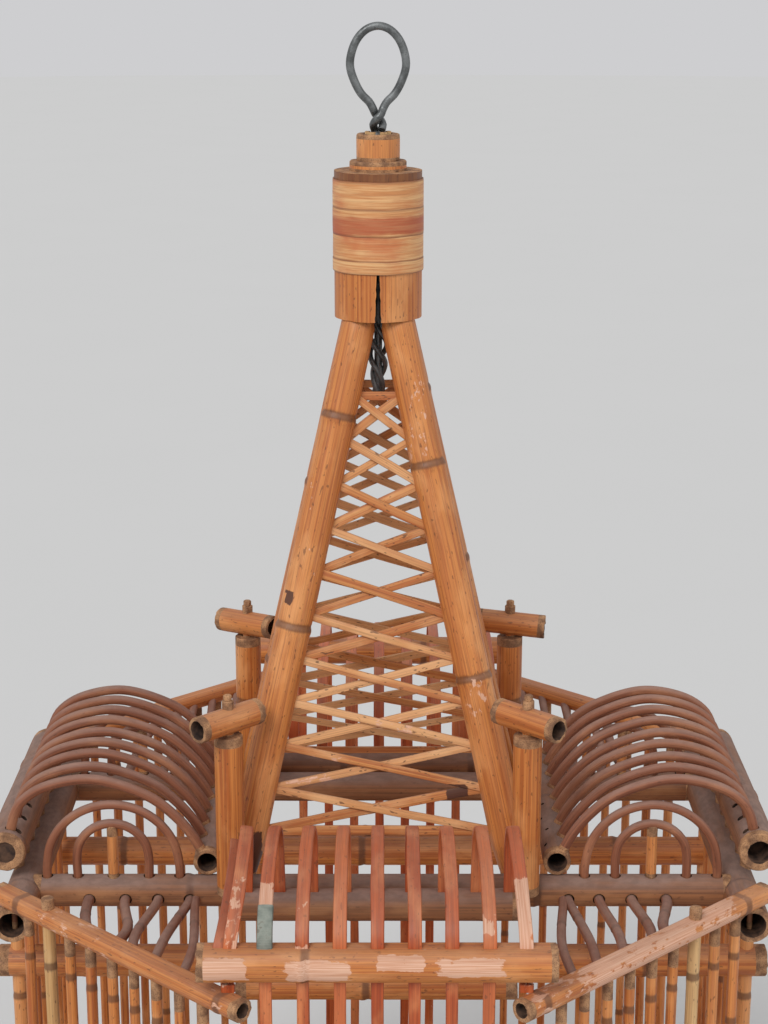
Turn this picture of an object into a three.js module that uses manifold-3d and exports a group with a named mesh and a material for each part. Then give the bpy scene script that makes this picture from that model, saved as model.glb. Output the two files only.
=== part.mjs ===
// Bamboo bird cage: four barrel-vaulted arms round a laced pyramid tower, over an eight-sided body.
// Millimetres, +Z up. The origin is on the table under the middle of the cage, and the front faces -Y.
import * as THREE from 'three';
import { mergeVertices } from 'three/addons/utils/BufferGeometryUtils.js';
import Module from 'manifold-3d';

const wasm = await Module();
wasm.setup();

// Fits
const clearance = 0.3; // gap wherever one piece touches or enters another
const socketDepth = 4; // how far the end of a rod goes into a rail
const slidingGap = 0.6; // gap round the moving door and tray
const overcut = 1; // how far a cutter runs past the face that it opens

// Layout of the plan and the levels
const crownHeight = 360; // table to the axes of the cross bars and side tubes
const crossBarOffset = 74; // middle to the cross bars' axes
const hoodReach = 229.8; // middle to the hood bars' axes
const sideTubeReach = 199.2; // middle to the side tubes' axes
const wallSetOut = 4.5; // side walls' rods, outwards from the side tubes' axes
const towerShift = -3.3; // the tower and its posts stand this far left of the middle
const slatShift = -2; // and so far the slats, the door and the lintels

// Radii and bores of the bamboo rails
const crossBarRadius = 8.9;
const crossBarSetback = 3; // the bar's end, inwards from the side tube's axis
const restBarLift = { front: 0, rear: 7 }; // rest bars' axes above the cross bars' axes
const restBarOverrun = 2; // rest bar's end past the post's axis
const hoodBarRadius = { front: 11, rear: 10.1 };
const hoodBarOverhang = 14.5; // past the end slats' pitch lines
const sideTubeRadius = 10;
const sideTubeBore = 6.9;
const sideTubeBoreDepth = 30; // the bore stops at the joint in the cane
const sideTubeOverhang = 43.7; // past the cross bars' axes
const shoulderRadius = 7;
const shoulderRest = 7.3; // the bar's end past the side tube's axis, and back from the tube's end
const shoulderEndInset = 19.9; // its other end, inwards from the hood bar's end
const shoulderEndProud = 10.5; // and past the hood bar's axis
const shoulderBore = 4.9;
const shoulderBoreDepth = 18;
const eaveRadius = 11.1;
const eaveBore = 5.5;
const eaveBoreDepth = 14;
const eaveOverhang = 6.5; // past the cross bars' axes
const eaveSetOut = 8.9; // outwards from the side tubes' axes
const eaveLift = 25.5; // above the cross bars
const valleyRadius = 7.1;
const valleyBore = 5;
const valleyOverhang = 0.4; // past the cross bars' axes
const valleyReach = 97.4; // middle to the valley tubes' axes
const valleyNotch = { left: 1.9, right: 0 }; // depth of the cross bars' notches under the valley tubes
const tieBarRadius = { front: 8.9, rear: 10.9 };
const tieBarOverhang = 15.3; // past the side tubes' axes
const tieBarDrop = { front: 41, rear: 45.4 }; // below the cross bars
const tieBarFall = { front: 0, rear: 0.0305 }; // fall to the right, for each millimetre
const tieBarSetOut = 3.7; // outwards from the cross bars' axes
const shortTieRadius = 8.9;
const shortTieHalfLength = 77.7;
const shortTieDrop = { front: 5.2, rear: 1.2 }; // below the tie bars
const sillRadius = 9;
const sillHeight = 36; // table to the sill rails' axes
const midRailRadius = 9;
const midRailHeight = 180; // table to the middle rails of the side and slanted walls
const rearRailHeight = 170; // and to the rear wall's middle rail
const midRailOverrun = 0.05; // front slanted middle rail past its last rod, a share of the bar above

// Rods, slats and ribs
const rodRadius = 2.9;
const cornerPostRadius = 4;
const sideRodCount = 8;
const sideRodInset = 15.4; // end rods, inwards from the corner posts
const shoulderRodCount = 9;
const shoulderRodFirst = 0.12; // first and last rod, as shares of the shoulder bar's length
const shoulderRodLast = 0.85;
const slatWidth = 7.5; // over the hood
const slatNarrow = 5.4; // below the hood bar
const slatThickness = 2;
const slatPitch = 18;
const slatCount = 9;
const slatSeat = 2.2; // front slats' back ends, outwards from the rest bar's axis
const slatNotch = 1; // rear slats' middles, inwards from the rest bar's outer side
const hoodRise = { front: 62, rear: 47.5 }; // top of a hood slat above the cross bars
const ribRadius = 2.2;
const ribCount = 9;
const ribInset = 2.8; // end ribs, inwards from the cross bars' axes
const ribRise = { // tops of the vaults' first and last ribs above the cross bars
  left: { front: 65.4, rear: 71 },
  right: { front: 68.6, rear: 64.2 },
};
const ribSeat = 1.6; // a rib's outer foot, inwards from the eave tube's axis
const archRadius = 2.2;
const archRodRadius = 2.5;
const outerArchSpan = 74.4;
const innerArchSpan = 39.8;
const arches = { // rises above the cross bars, and centres inwards from halfway between valley and eave
  front_left: { outer: 49.6, inner: 39.4, setIn: 0.6 },
  front_right: { outer: 57.6, inner: 44.6, setIn: 5 },
  rear_left: { outer: 51.5, inner: 39.6, setIn: 0.6 },
  rear_right: { outer: 49.5, inner: 36.5, setIn: 3.5 },
};
const twigRadius = 2.8;
const twigPlay = 0.6; // the twigs' holes are bored a little wide
const twigDip = 2; // the twigs' holes below the cross bar's axis, and the sag of their middles
const twigStraight = 3; // straight length outside the hole

// Tower
const legs = { // each foot's distance from the tower's middle, and the leg's inward bow at half height
  front_left: { foot: 76.6, bow: 3.2 },
  front_right: { foot: 76.6, bow: 0 },
  rear_left: { foot: 78.1, bow: 0 },
  rear_right: { foot: 82, bow: 0 },
};
const legFootSetIn = 8.5; // feet inwards from the cross bars' axes
const legTopOffset = 10; // tower axis to a leg's axis, along X and along Y, at the cap's rim
const legRadius = 10.4;
const legFootLift = 8.9; // the foot centres above the cross bars
const towerRise = 311.3; // cap rim above the cross bars
const legInCap = 20; // how far the legs go up into the cap
const laceLevels = 11;
const laceFirst = 21.6; // lowest lacing level above the leg feet
const lacePitch = 24;
const laceWidth = 5;
const laceThickness = 1.7;
const laceTuck = 3; // how far the strips' ends go in under the legs' round sides

// Cap, collars and hanging ring
const capRadius = 22.7;
const capBore = 20.2;
const capHeight = 78.5;
const capLean = 1.6; // degrees to the right, about the middle of the rim
const capTopThickness = 6;
const wrapThickness = 0.7;
const wrapStart = 26; // bare height of the cap below its wrapping
const wrapEnd = 1; // bare height above it
const middleCollarRadius = 14.7;
const middleCollarHeight = 5.2;
const topCollarRadius = 11.2;
const topCollarBore = 7.4;
const topCollarHeight = 14;
const wireRadius = 2.15;
const wirePlay = 1; // round the wire's tail between the legs
const ringHalfWidth = 15.5;
const ringShift = -0.9; // the ring's middle, sideways from its twist
const ringRise = 77; // wire's axis at the top of the ring, above the cap's top
const twistRadius = 2.6;
const twistHeight = 11;
const twistTurn = 1.25 * Math.PI; // each strand's turn in the twist
const twistGap = 2; // twist above the top collar
const twistRun = 9; // height in which the tail swings out into the twist
const ringNarrowing = 0.17; // the ring's lower half draws in by this share towards the twist
const wireTailDrop = 43; // the wire's tail below the cap's rim
const plugProud = 1.2; // the plug above the top collar
const plugPocket = 6; // depth of the pocket in the plug that takes the wire's twist

// Posts and crossheads at the tower's corners
// aside: the post's foot, sideways from the leg's. lean: its top, further sideways. top: above the cross
// bars. pegLean and pegTop: the peg's tip, sideways from the post's top and above the cross bars
const posts = {
  front_left: { radius: 8, aside: 0.9, lean: 2.2, top: 98.5, pegLean: 3, pegTop: 125 },
  front_right: { radius: 7.4, aside: 1.1, lean: 2.4, top: 98, pegLean: 1.3, pegTop: 124.6 },
  rear_left: { radius: 7.75, aside: 2.9, lean: 9.2, top: 79.5, pegLean: 6.6, pegTop: 112.8 },
  rear_right: { radius: 8.5, aside: 3.8, lean: 7, top: 91, pegLean: 3.8, pegTop: 117.6 },
};
// lift: above the cross bars. heading: degrees round Z. tip: how much the outer end points down.
// slide: the crosshead's middle, along its heading from the peg
const crossheads = {
  front_left: { radius: 8.6, length: 40, lift: 110, heading: 211, tip: 0, slide: 0 },
  front_right: { radius: 7.8, length: 40, lift: 110.6, heading: 311, tip: 0, slide: 0 },
  rear_left: { radius: 9, length: 37, lift: 91.3, heading: 314, tip: 0, slide: -6 },
  rear_right: { radius: 8.4, length: 41, lift: 100.8, heading: 351, tip: 5.7, slide: 0 },
};
const crossheadWall = 1.7;
const postSetOut = 9.8; // outwards from the cross bars' axes
const postFoot = 3; // above the cross bars, where the post stands on two of them
const pegRoot = 5; // peg below the post's top
const pegRadius = 4;

// Door, tray, perch and feet
const lintelHeight = 250;
const lintelRadius = 6;
const doorHalfSlats = 2; // slats from the middle to the ones that the door runs on
const doorRodRadius = 2.5;
const doorBarHeight = 10;
const doorBarDepth = 8;
const doorBarEnd = 5; // bar beyond the slat that it runs on
const doorMidRailHeight = 140;
const doorRodShow = 8; // door rods above the lintel when shut
const footRadius = 9;
const runnerRadius = 5;
const runnerHeight = 7;
const trayFloor = 3;
const trayHeight = 13.4;
const trayRim = 3;
const trayInset = 11.7; // side wall rods to the tray's edge
const trayEndInset = 4; // front and rear sill axes to the tray's edge
const trayCornerBack = 10; // side tubes' ends back to the tray's side corners
const trayCornerIn = 16; // hood bars' ends in to the tray's front corners
const trayPullLength = 12;
const trayPullRadius = 4;
const perchRadius = 6;
const perchHeight = 150;
const perchEnd = 5; // perch beyond the rods that its forks straddle

// Levels and lines worked out from the sizes above
const wallReach = sideTubeReach + wallSetOut; // middle to the side walls' rods
const eaveReach = sideTubeReach + eaveSetOut; // middle to the eave tubes' axes
const hoodBarHalfLength = ((slatCount - 1) / 2) * slatPitch + hoodBarOverhang;
const sideTubeHalfLength = crossBarOffset + sideTubeOverhang;
const eaveHalfLength = crossBarOffset + eaveOverhang;
const valleyHalfLength = crossBarOffset + valleyOverhang;
const tieBarHalfLength = sideTubeReach + tieBarOverhang;
const tieBarOffset = crossBarOffset + tieBarSetOut; // middle to the tie bars' axes
const sideRodPitch = (2 * (tieBarOffset - sideRodInset)) / (sideRodCount - 1);
const ribPitch = (2 * (crossBarOffset - ribInset)) / (ribCount - 1);
const legFootY = crossBarOffset - legFootSetIn;
const postY = crossBarOffset + postSetOut;
const capRim = crownHeight + towerRise;
const capTop = capRim + capHeight;
const ringTopHeight = capTop + ringRise;
const legFootHeight = crownHeight + legFootLift;
const towerHeight = towerRise - legFootLift;
const eaveHeight = crownHeight + eaveLift;
const shoulderStart = new THREE.Vector2(sideTubeReach + shoulderRest, sideTubeHalfLength - shoulderRest);
const shoulderEnd = new THREE.Vector2(
  hoodBarHalfLength - shoulderEndInset,
  hoodReach + shoulderEndProud,
);
const slatX = (index) => slatShift + (index - (slatCount - 1) / 2) * slatPitch;

// The two ends and the two sides, by their signs, and what differs between them
const endOf = (sy) => (sy < 0 ? 'front' : 'rear');
const sideOf = (sx) => (sx < 0 ? 'left' : 'right');
const archReach = ({ name }) => (valleyReach + eaveReach) / 2 - arches[name].setIn;
const valleyHeight = (sx) => (
  crownHeight + crossBarRadius + valleyRadius + clearance - valleyNotch[sideOf(sx)]
);
const restBarHeight = (sy) => crownHeight + restBarLift[endOf(sy)];
const restBarOffset = (sy) => (
  crossBarOffset + Math.sqrt((2 * crossBarRadius + clearance) ** 2 - restBarLift[endOf(sy)] ** 2)
);
const tieBarHeight = (sy, x = 0) => crownHeight - tieBarDrop[endOf(sy)] - tieBarFall[endOf(sy)] * x;
const shortTieHeight = (sy) => tieBarHeight(sy) - shortTieDrop[endOf(sy)];

// The front shoulder bars lie on the side tubes, and the rear ones are held under them
const shoulderHeight = (sy) => crownHeight - sy * (sideTubeRadius + shoulderRadius + clearance);
const hoodBarHeight = (sy) => (
  shoulderHeight(sy) + shoulderRadius + hoodBarRadius[endOf(sy)] + clearance
);

// Middle to a short tie bar's axis. It touches its tie bar where their heights differ least
function shortTieOffset(sy) {
  const end = endOf(sy);
  const apart = tieBarRadius[end] + shortTieRadius + clearance;
  const drop = Math.max(0, shortTieDrop[end] - tieBarFall[end] * shortTieHalfLength);
  return tieBarOffset + Math.sqrt(apart ** 2 - drop ** 2);
}

const finishes = {
  honey: { color: 0xc07a40, roughness: 0.5, metalness: 0 },
  dusty: { color: 0x8a6a58, roughness: 0.85, metalness: 0 },
  rib: { color: 0x96604a, roughness: 0.7, metalness: 0 },
  slat: { color: 0xb4602f, roughness: 0.55, metalness: 0 },
  lace: { color: 0xc98850, roughness: 0.6, metalness: 0 },
  veneer: { color: 0xd0a070, roughness: 0.6, metalness: 0 },
  wire: { color: 0x6a6c6c, roughness: 0.45, metalness: 0.8 },
  board: { color: 0xa98458, roughness: 0.7, metalness: 0 },
};

// Facets of the round and bent pieces
const railSides = 10;
const caneSides = 12;
const rodSides = 5;
const bentSides = 5;
const boreSides = 8;
const capSides = 24;
const collarSides = 16;
const wireSides = 6;
const twigSteps = 4;
const legSteps = 4; // only where a leg is bowed
const ribSteps = 8;
const archSteps = 11;
const ringSteps = 56;
const twistSteps = 4;
const loopSteps = 16;

const vec = (x, y, z) => new THREE.Vector3(x, y, z);

// A closed geometry as a solid that can be joined and cut
function toSolid(geometry) {
  geometry.deleteAttribute('normal');
  geometry.deleteAttribute('uv');
  const merged = mergeVertices(geometry, 1e-4);
  return new wasm.Manifold(new wasm.Mesh({
    numProp: 3,
    vertProperties: Float32Array.from(merged.attributes.position.array),
    triVerts: Uint32Array.from(merged.index.array),
  }));
}

function join(solids) {
  return solids.reduce((whole, solid) => whole.add(solid));
}

function cut(solid, cutters) {
  return cutters.reduce((rest, cutter) => rest.subtract(cutter), solid);
}

// A straight rod between two points, with a second radius where it tapers
function rod(from, to, radius, sides = railSides, endRadius = radius) {
  const length = from.distanceTo(to);
  const geometry = new THREE.CylinderGeometry(endRadius, radius, length, sides);
  geometry.rotateY(Math.PI / sides);
  geometry.translate(0, length / 2, 0);
  const turn = new THREE.Quaternion().setFromUnitVectors(vec(0, 1, 0), to.clone().sub(from).normalize());
  geometry.applyQuaternion(turn);
  geometry.translate(from.x, from.y, from.z);
  return toSolid(geometry);
}

const rodX = (x0, x1, y, z, radius, facets = railSides) => (
  rod(vec(x0, y, z), vec(x1, y, z), radius, facets)
);
const rodY = (y0, y1, x, z, radius, facets = railSides) => (
  rod(vec(x, y0, z), vec(x, y1, z), radius, facets)
);
const rodZ = (z0, z1, x, y, radius, facets = rodSides) => (
  rod(vec(x, y, z0), vec(x, y, z1), radius, facets)
);

function box(sizeX, sizeY, sizeZ, centre) {
  const geometry = new THREE.BoxGeometry(sizeX, sizeY, sizeZ);
  geometry.translate(centre.x, centre.y, centre.z);
  return toSolid(geometry);
}

// A ring or stepped turning round Z, from a closed profile of [radius, height] points
function turned(profile, x, y, sides = collarSides) {
  const points = profile.map(([radius, height]) => new THREE.Vector2(radius, height));
  const geometry = new THREE.LatheGeometry([...points, points[0].clone()], sides);
  geometry.rotateX(Math.PI / 2);
  geometry.translate(x, y, 0);
  return toSolid(geometry);
}

// A bent rod of even thickness through a list of points
function bentRod(points, radius, steps, sides) {
  const outline = [];
  for (let i = 0; i < sides; i += 1) {
    const angle = ((i + 0.5) / sides) * 2 * Math.PI;
    outline.push(new THREE.Vector2(radius * Math.cos(angle), radius * Math.sin(angle)));
  }
  const path = new THREE.CatmullRomCurve3(points, false, 'centripetal');
  return toSolid(new THREE.ExtrudeGeometry(new THREE.Shape(outline), {
    steps,
    bevelEnabled: false,
    extrudePath: path,
  }));
}

// The socket for the first end of a bent rod, a little deeper than the rod goes
function bentCutter(points, radius, steps) {
  const [first, second] = points;
  const deeper = first.clone().addScaledVector(first.clone().sub(second).normalize(), clearance);
  return bentRod([deeper, ...points.slice(1)], radius, steps, bentSides);
}

const cage = new THREE.Group();

// Puts a finished solid into the cage under its own name, measured from an anchor of its own
function addPiece(name, solid, finish, anchor) {
  const { vertProperties, triVerts } = solid.getMesh();
  const geometry = new THREE.BufferGeometry();
  geometry.setAttribute('position', new THREE.BufferAttribute(Float32Array.from(vertProperties), 3));
  geometry.setIndex(new THREE.BufferAttribute(Uint32Array.from(triVerts), 1));
  geometry.translate(-anchor.x, -anchor.y, -anchor.z);
  geometry.computeVertexNormals();
  const mesh = new THREE.Mesh(geometry, new THREE.MeshStandardMaterial(finishes[finish]));
  mesh.name = name;
  mesh.position.copy(anchor);
  cage.add(mesh);
}

const ends = [['front', -1], ['rear', 1]];
const sides = [['left', -1], ['right', 1]];
const corners = ends.flatMap(
  ([end, sy]) => sides.map(([side, sx]) => ({ name: `${end}_${side}`, sx, sy })),
);
const cornersAt = (sy) => corners.filter((corner) => corner.sy === sy);

// Hood slats

// Middle to a slat's back end: the front slats end in the rest bar's top, and the rear ones run on down
// through notches in its outer side to the short tie bar
const slatBack = (sy) => (
  sy < 0 ? restBarOffset(sy) + slatSeat : restBarOffset(sy) + crossBarRadius - slatNotch
);

// Middle line of a slat over the hood, from the hood bar's axis, as [distance from the middle, height]
function hoodLine(sy) {
  const low = hoodBarHeight(sy);
  const top = crownHeight + hoodRise[endOf(sy)];
  const back = slatBack(sy);
  const at = (share, rise) => [
    hoodReach - share * (hoodReach - back),
    low + (top - low) * rise,
  ];
  const outside = [at(0, 0), at(0, 0.3), at(0.035, 0.6), at(0.14, 0.86)];
  if (sy < 0) {
    return [
      ...outside,
      at(0.36, 1),
      at(0.6, 0.97),
      at(0.8, 0.72),
      [at(0.94, 0)[0], crownHeight + 0.62 * hoodRise.front],
      [back, crownHeight + crossBarRadius - socketDepth],
    ];
  }
  return [
    ...outside,
    at(0.4, 1),
    at(0.65, 0.99),
    at(0.85, 0.95),
    at(0.96, 0.86),
    at(1, 0.65),
    [back, shortTieHeight(sy) + shortTieRadius - socketDepth],
  ];
}

// Extrudes a strip of even thickness along a line in the YZ plane
function strip(line, thickness, width, x, sy) {
  const near = [];
  const far = [];
  line.forEach(([y, z], i) => {
    const [y0, z0] = line[Math.max(i - 1, 0)];
    const [y1, z1] = line[Math.min(i + 1, line.length - 1)];
    const along = new THREE.Vector2(y1 - y0, z1 - z0).normalize();
    near.push(new THREE.Vector2(sy * (y + along.y * thickness / 2), z - along.x * thickness / 2));
    far.unshift(new THREE.Vector2(sy * (y - along.y * thickness / 2), z + along.x * thickness / 2));
  });
  const geometry = new THREE.ExtrudeGeometry(new THREE.Shape([...near, ...far]), {
    depth: width,
    steps: 1,
    bevelEnabled: false,
  });
  geometry.applyMatrix4(new THREE.Matrix4().makeBasis(vec(0, 1, 0), vec(0, 0, 1), vec(1, 0, 0)));
  geometry.translate(x - width / 2, 0, 0);
  return toSolid(geometry);
}

// A slat, wide over the hood and narrow below the hood bar, grown where it cuts its slots
function slat(index, sy, foot, grow = 0) {
  const thickness = slatThickness + 2 * grow;
  const over = hoodLine(sy);
  over[over.length - 1][1] -= grow;
  const below = [[hoodReach, foot], [hoodReach, hoodBarHeight(sy) + overcut]];
  return join([
    strip(over, thickness, slatWidth + 2 * grow, slatX(index), sy),
    strip(below, thickness, slatNarrow + 2 * grow, slatX(index), sy),
  ]);
}

// The end slats stop on the shoulder bars, and the others run down to the sill
const isEndSlat = (index) => index === 0 || index === slatCount - 1;
const slatFoot = (index, sy) => (
  isEndSlat(index) ? shoulderHeight(sy) + shoulderRadius + clearance : sillHeight
);

function addHoods() {
  for (const [end, sy] of ends) {
    const bar = rodX(
      -hoodBarHalfLength,
      hoodBarHalfLength,
      sy * hoodReach,
      hoodBarHeight(sy),
      hoodBarRadius[end],
    );
    const slots = [];
    const endSlats = [];
    for (let i = 0; i < slatCount; i += 1) {
      if (isEndSlat(i)) endSlats.push(slat(i, sy, slatFoot(i, sy)));
      else slots.push(slat(i, sy, slatFoot(i, sy), clearance));
    }
    const whole = join([cut(bar, slots), ...endSlats]);
    addPiece(`hood_bar_${end}`, whole, 'honey', vec(0, sy * hoodReach, hoodBarHeight(sy)));
  }
}

// Cross bars, with the sockets for arches and shoulder twigs

// The two end arches of a vault, one inside the other
const archFeet = [
  { kind: 'outer', span: outerArchSpan },
  { kind: 'inner', span: innerArchSpan },
];

function archPoints({ kind, span }, corner) {
  const { name, sx, sy } = corner;
  const middle = sx * archReach(corner);
  const springing = crownHeight + arches[name][kind] - span / 2;
  const foot = crownHeight + crossBarRadius - socketDepth;
  const points = [vec(middle + span / 2, sy * crossBarOffset, foot)];
  for (let i = 0; i <= 8; i += 1) {
    const angle = (i / 8) * Math.PI;
    points.push(vec(
      middle + (span / 2) * Math.cos(angle),
      sy * crossBarOffset,
      springing + (span / 2) * Math.sin(angle),
    ));
  }
  points.push(vec(middle - span / 2, sy * crossBarOffset, foot));
  return points;
}

// Twigs from the cross bar to the shoulder bar: the hole's distance from the middle, the share of
// the shoulder bar's length that it reaches, and how far it bows sideways
const twigRows = {
  left: [
    { hole: 161, reach: 0.44, bow: 3 },
    { hole: 141, reach: 0.51, bow: -4 },
    { hole: 123.5, reach: 0.6, bow: 3 },
    { hole: 106.5, reach: 0.68, bow: 2 },
  ],
  right: [
    { hole: 156.5, reach: 0.38, bow: 3 },
    { hole: 138, reach: 0.5, bow: -4 },
    { hole: 119, reach: 0.62, bow: 3 },
    { hole: 101.5, reach: 0.71, bow: 2 },
  ],
};

const shoulderPoint = (share, sx, sy) => vec(
  sx * THREE.MathUtils.lerp(shoulderStart.x, shoulderEnd.x, share),
  sy * THREE.MathUtils.lerp(shoulderStart.y, shoulderEnd.y, share),
  shoulderHeight(sy),
);

function twigPoints({ hole, reach, bow }, sx, sy) {
  const reachIn = crossBarOffset + crossBarRadius - socketDepth;
  const inner = vec(sx * hole, sy * reachIn, crownHeight - twigDip);
  const outside = inner.clone().add(vec(0, sy * (socketDepth + twigStraight), 0.5));
  const far = shoulderPoint(reach, sx, sy);
  const middle = outside.clone().lerp(far, 0.5).add(vec(sx * bow, 0, -twigDip));
  return [inner, outside, middle, far];
}

function crossBarCutters(sy) {
  const cutters = [];
  for (const corner of cornersAt(sy)) {
    const { sx } = corner;
    const middle = sx * archReach(corner);
    cutters.push(sideTubeCutter(sx));
    for (const { span } of archFeet) {
      for (const side of [-1, 1]) {
        cutters.push(socketDown(middle + side * span / 2, sy * crossBarOffset, archRadius));
      }
    }
    cutters.push(socketDown(middle, sy * crossBarOffset, archRodRadius));
    for (const row of twigRows[sideOf(sx)]) {
      cutters.push(bentCutter(twigPoints(row, sx, sy), twigRadius + twigPlay, twigSteps));
    }
    if (valleyNotch[sideOf(sx)] > 0) cutters.push(valleyShape(sx, clearance));
  }
  return cutters;
}

// A socket in the top of a cross bar
const socketDown = (x, y, radius) => rodZ(
  crownHeight + crossBarRadius - socketDepth - clearance,
  crownHeight + crossBarRadius + overcut,
  x,
  y,
  radius + clearance,
);

const sideTubeCutter = (sx) => rodY(
  -sideTubeHalfLength,
  sideTubeHalfLength,
  sx * sideTubeReach,
  crownHeight,
  sideTubeRadius + clearance,
);

const crossBarShape = (sy, grow = 0) => rodX(
  crossBarSetback - sideTubeReach,
  sideTubeReach - crossBarSetback,
  sy * crossBarOffset,
  crownHeight,
  crossBarRadius + grow,
);

function addCrossBars() {
  for (const [end, sy] of ends) {
    const bar = cut(crossBarShape(sy), crossBarCutters(sy));
    addPiece(`cross_bar_${end}`, bar, 'dusty', vec(0, sy * crossBarOffset, crownHeight));
  }
}

// Rest bars beside the cross bars, which hold the back ends of the hood slats
function restBarShape(sy, grow = 0) {
  const [left, right] = cornersAt(sy).map((corner) => postAt(corner, 0).x);
  return rodX(
    left - restBarOverrun,
    right + restBarOverrun,
    sy * restBarOffset(sy),
    restBarHeight(sy),
    crossBarRadius + grow,
  );
}

function addRestBars() {
  for (const [end, sy] of ends) {
    const cutters = cornersAt(sy).map((corner) => postShape(corner, clearance));
    for (let i = 0; i < slatCount; i += 1) cutters.push(slat(i, sy, slatFoot(i, sy), clearance));
    const bar = cut(restBarShape(sy), cutters);
    const anchor = vec(towerShift, sy * restBarOffset(sy), restBarHeight(sy));
    addPiece(`hood_rest_bar_${end}`, bar, 'dusty', anchor);
  }
}

// The outer arches' feet are pared where they pass the side tubes
function addArches() {
  for (const corner of corners) {
    const { name, sx, sy } = corner;
    const anchor = vec(sx * archReach(corner), sy * crossBarOffset, crownHeight);
    for (const arch of archFeet) {
      const { kind } = arch;
      const parts = [bentRod(archPoints(arch, corner), archRadius, archSteps, bentSides)];
      if (kind === 'inner') {
        const foot = crownHeight + crossBarRadius - socketDepth;
        parts.push(rodZ(foot, crownHeight + arches[name].inner, anchor.x, anchor.y, archRodRadius));
      }
      addPiece(`arch_${kind}_${name}`, cut(join(parts), [sideTubeCutter(sx)]), 'rib', anchor);
    }
  }
}

// Side tubes, eave tubes and vaults

const sideRodY = (index) => (index - (sideRodCount - 1) / 2) * sideRodPitch;
const ribY = (index) => (index - (ribCount - 1) / 2) * ribPitch;
const eaveSocketTop = eaveHeight
  - Math.sqrt(eaveRadius ** 2 - (eaveReach - wallReach) ** 2) + socketDepth;
const cornerPostTop = crownHeight - sideTubeRadius + socketDepth;

// Middle line of a vault rib, from the eave tube over to the valley tube
function ribPoints(sx, y) {
  const { front, rear } = ribRise[sideOf(sx)];
  const low = valleyHeight(sx);
  const eaveTop = eaveHeight + eaveRadius;
  const top = crownHeight + THREE.MathUtils.mapLinear(y, -crossBarOffset, crossBarOffset, front, rear);
  const span = eaveReach - valleyReach;
  const outer = eaveReach - ribSeat;
  const at = (share, height) => vec(sx * (outer - share * span), y, height);
  return [
    at(0, eaveTop - socketDepth),
    at(0.03, eaveTop + 0.28 * (top - eaveTop)),
    at(0.07, eaveTop + 0.54 * (top - eaveTop)),
    at(0.18, eaveTop + 0.83 * (top - eaveTop)),
    at(0.42, top),
    at(0.7, top - 0.35 * (top - eaveTop)),
    at(0.83, top - 0.76 * (top - eaveTop)),
    at(0.91, low + 2 * valleyRadius),
    vec(sx * (valleyReach + 0.38 * valleyRadius), y, low + 0.68 * valleyRadius),
  ];
}

function addSideTubes() {
  for (const [side, sx] of sides) {
    const tube = rodY(
      -sideTubeHalfLength,
      sideTubeHalfLength,
      sx * sideTubeReach,
      crownHeight,
      sideTubeRadius,
    );
    const cutters = [];
    for (let i = 0; i < sideRodCount; i += 1) cutters.push(sideRod(sx, i, clearance));
    for (const [, sy] of ends) {
      cutters.push(cornerPost(sx, sy, clearance));
      cutters.push(rodY(
        sy * (sideTubeHalfLength - sideTubeBoreDepth),
        sy * (sideTubeHalfLength + overcut),
        sx * sideTubeReach,
        crownHeight,
        sideTubeBore,
        boreSides,
      ));
    }
    addPiece(`side_tube_${side}`, cut(tube, cutters), 'dusty', vec(sx * sideTubeReach, 0, crownHeight));
  }
}

function addEaveTubes() {
  for (const [side, sx] of sides) {
    const shape = rodY(-eaveHalfLength, eaveHalfLength, sx * eaveReach, eaveHeight, eaveRadius);
    const cutters = ends.map(([, sy]) => rodY(
      sy * (eaveHalfLength - eaveBoreDepth),
      sy * (eaveHalfLength + overcut),
      sx * eaveReach,
      eaveHeight,
      eaveBore,
      boreSides,
    ));
    for (let i = 0; i < sideRodCount; i += 1) cutters.push(sideRod(sx, i, clearance));
    for (let i = 0; i < ribCount; i += 1) {
      cutters.push(bentCutter(ribPoints(sx, ribY(i)), ribRadius + clearance, ribSteps));
    }
    addPiece(`eave_tube_${side}`, cut(shape, cutters), 'dusty', vec(sx * eaveReach, 0, eaveHeight));
  }
}

const valleyShape = (sx, grow = 0) => rodY(
  -valleyHalfLength - grow,
  valleyHalfLength + grow,
  sx * valleyReach,
  valleyHeight(sx),
  valleyRadius + grow,
);

function addVaults() {
  for (const [side, sx] of sides) {
    const bore = rodY(
      -valleyHalfLength - overcut,
      valleyHalfLength + overcut,
      sx * valleyReach,
      valleyHeight(sx),
      valleyBore,
      boreSides,
    );
    const ribs = [];
    for (let i = 0; i < ribCount; i += 1) {
      ribs.push(bentRod(ribPoints(sx, ribY(i)), ribRadius, ribSteps, bentSides));
    }
    const whole = join([cut(valleyShape(sx), [bore]), ...ribs]);
    addPiece(`vault_${side}`, whole, 'rib', vec(sx * valleyReach, 0, valleyHeight(sx)));
  }
}

// Shoulder bars with their twigs

const shoulderShape = (sx, sy, grow = 0) => rod(
  shoulderPoint(0, sx, sy),
  shoulderPoint(1, sx, sy),
  shoulderRadius + grow,
);

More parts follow.
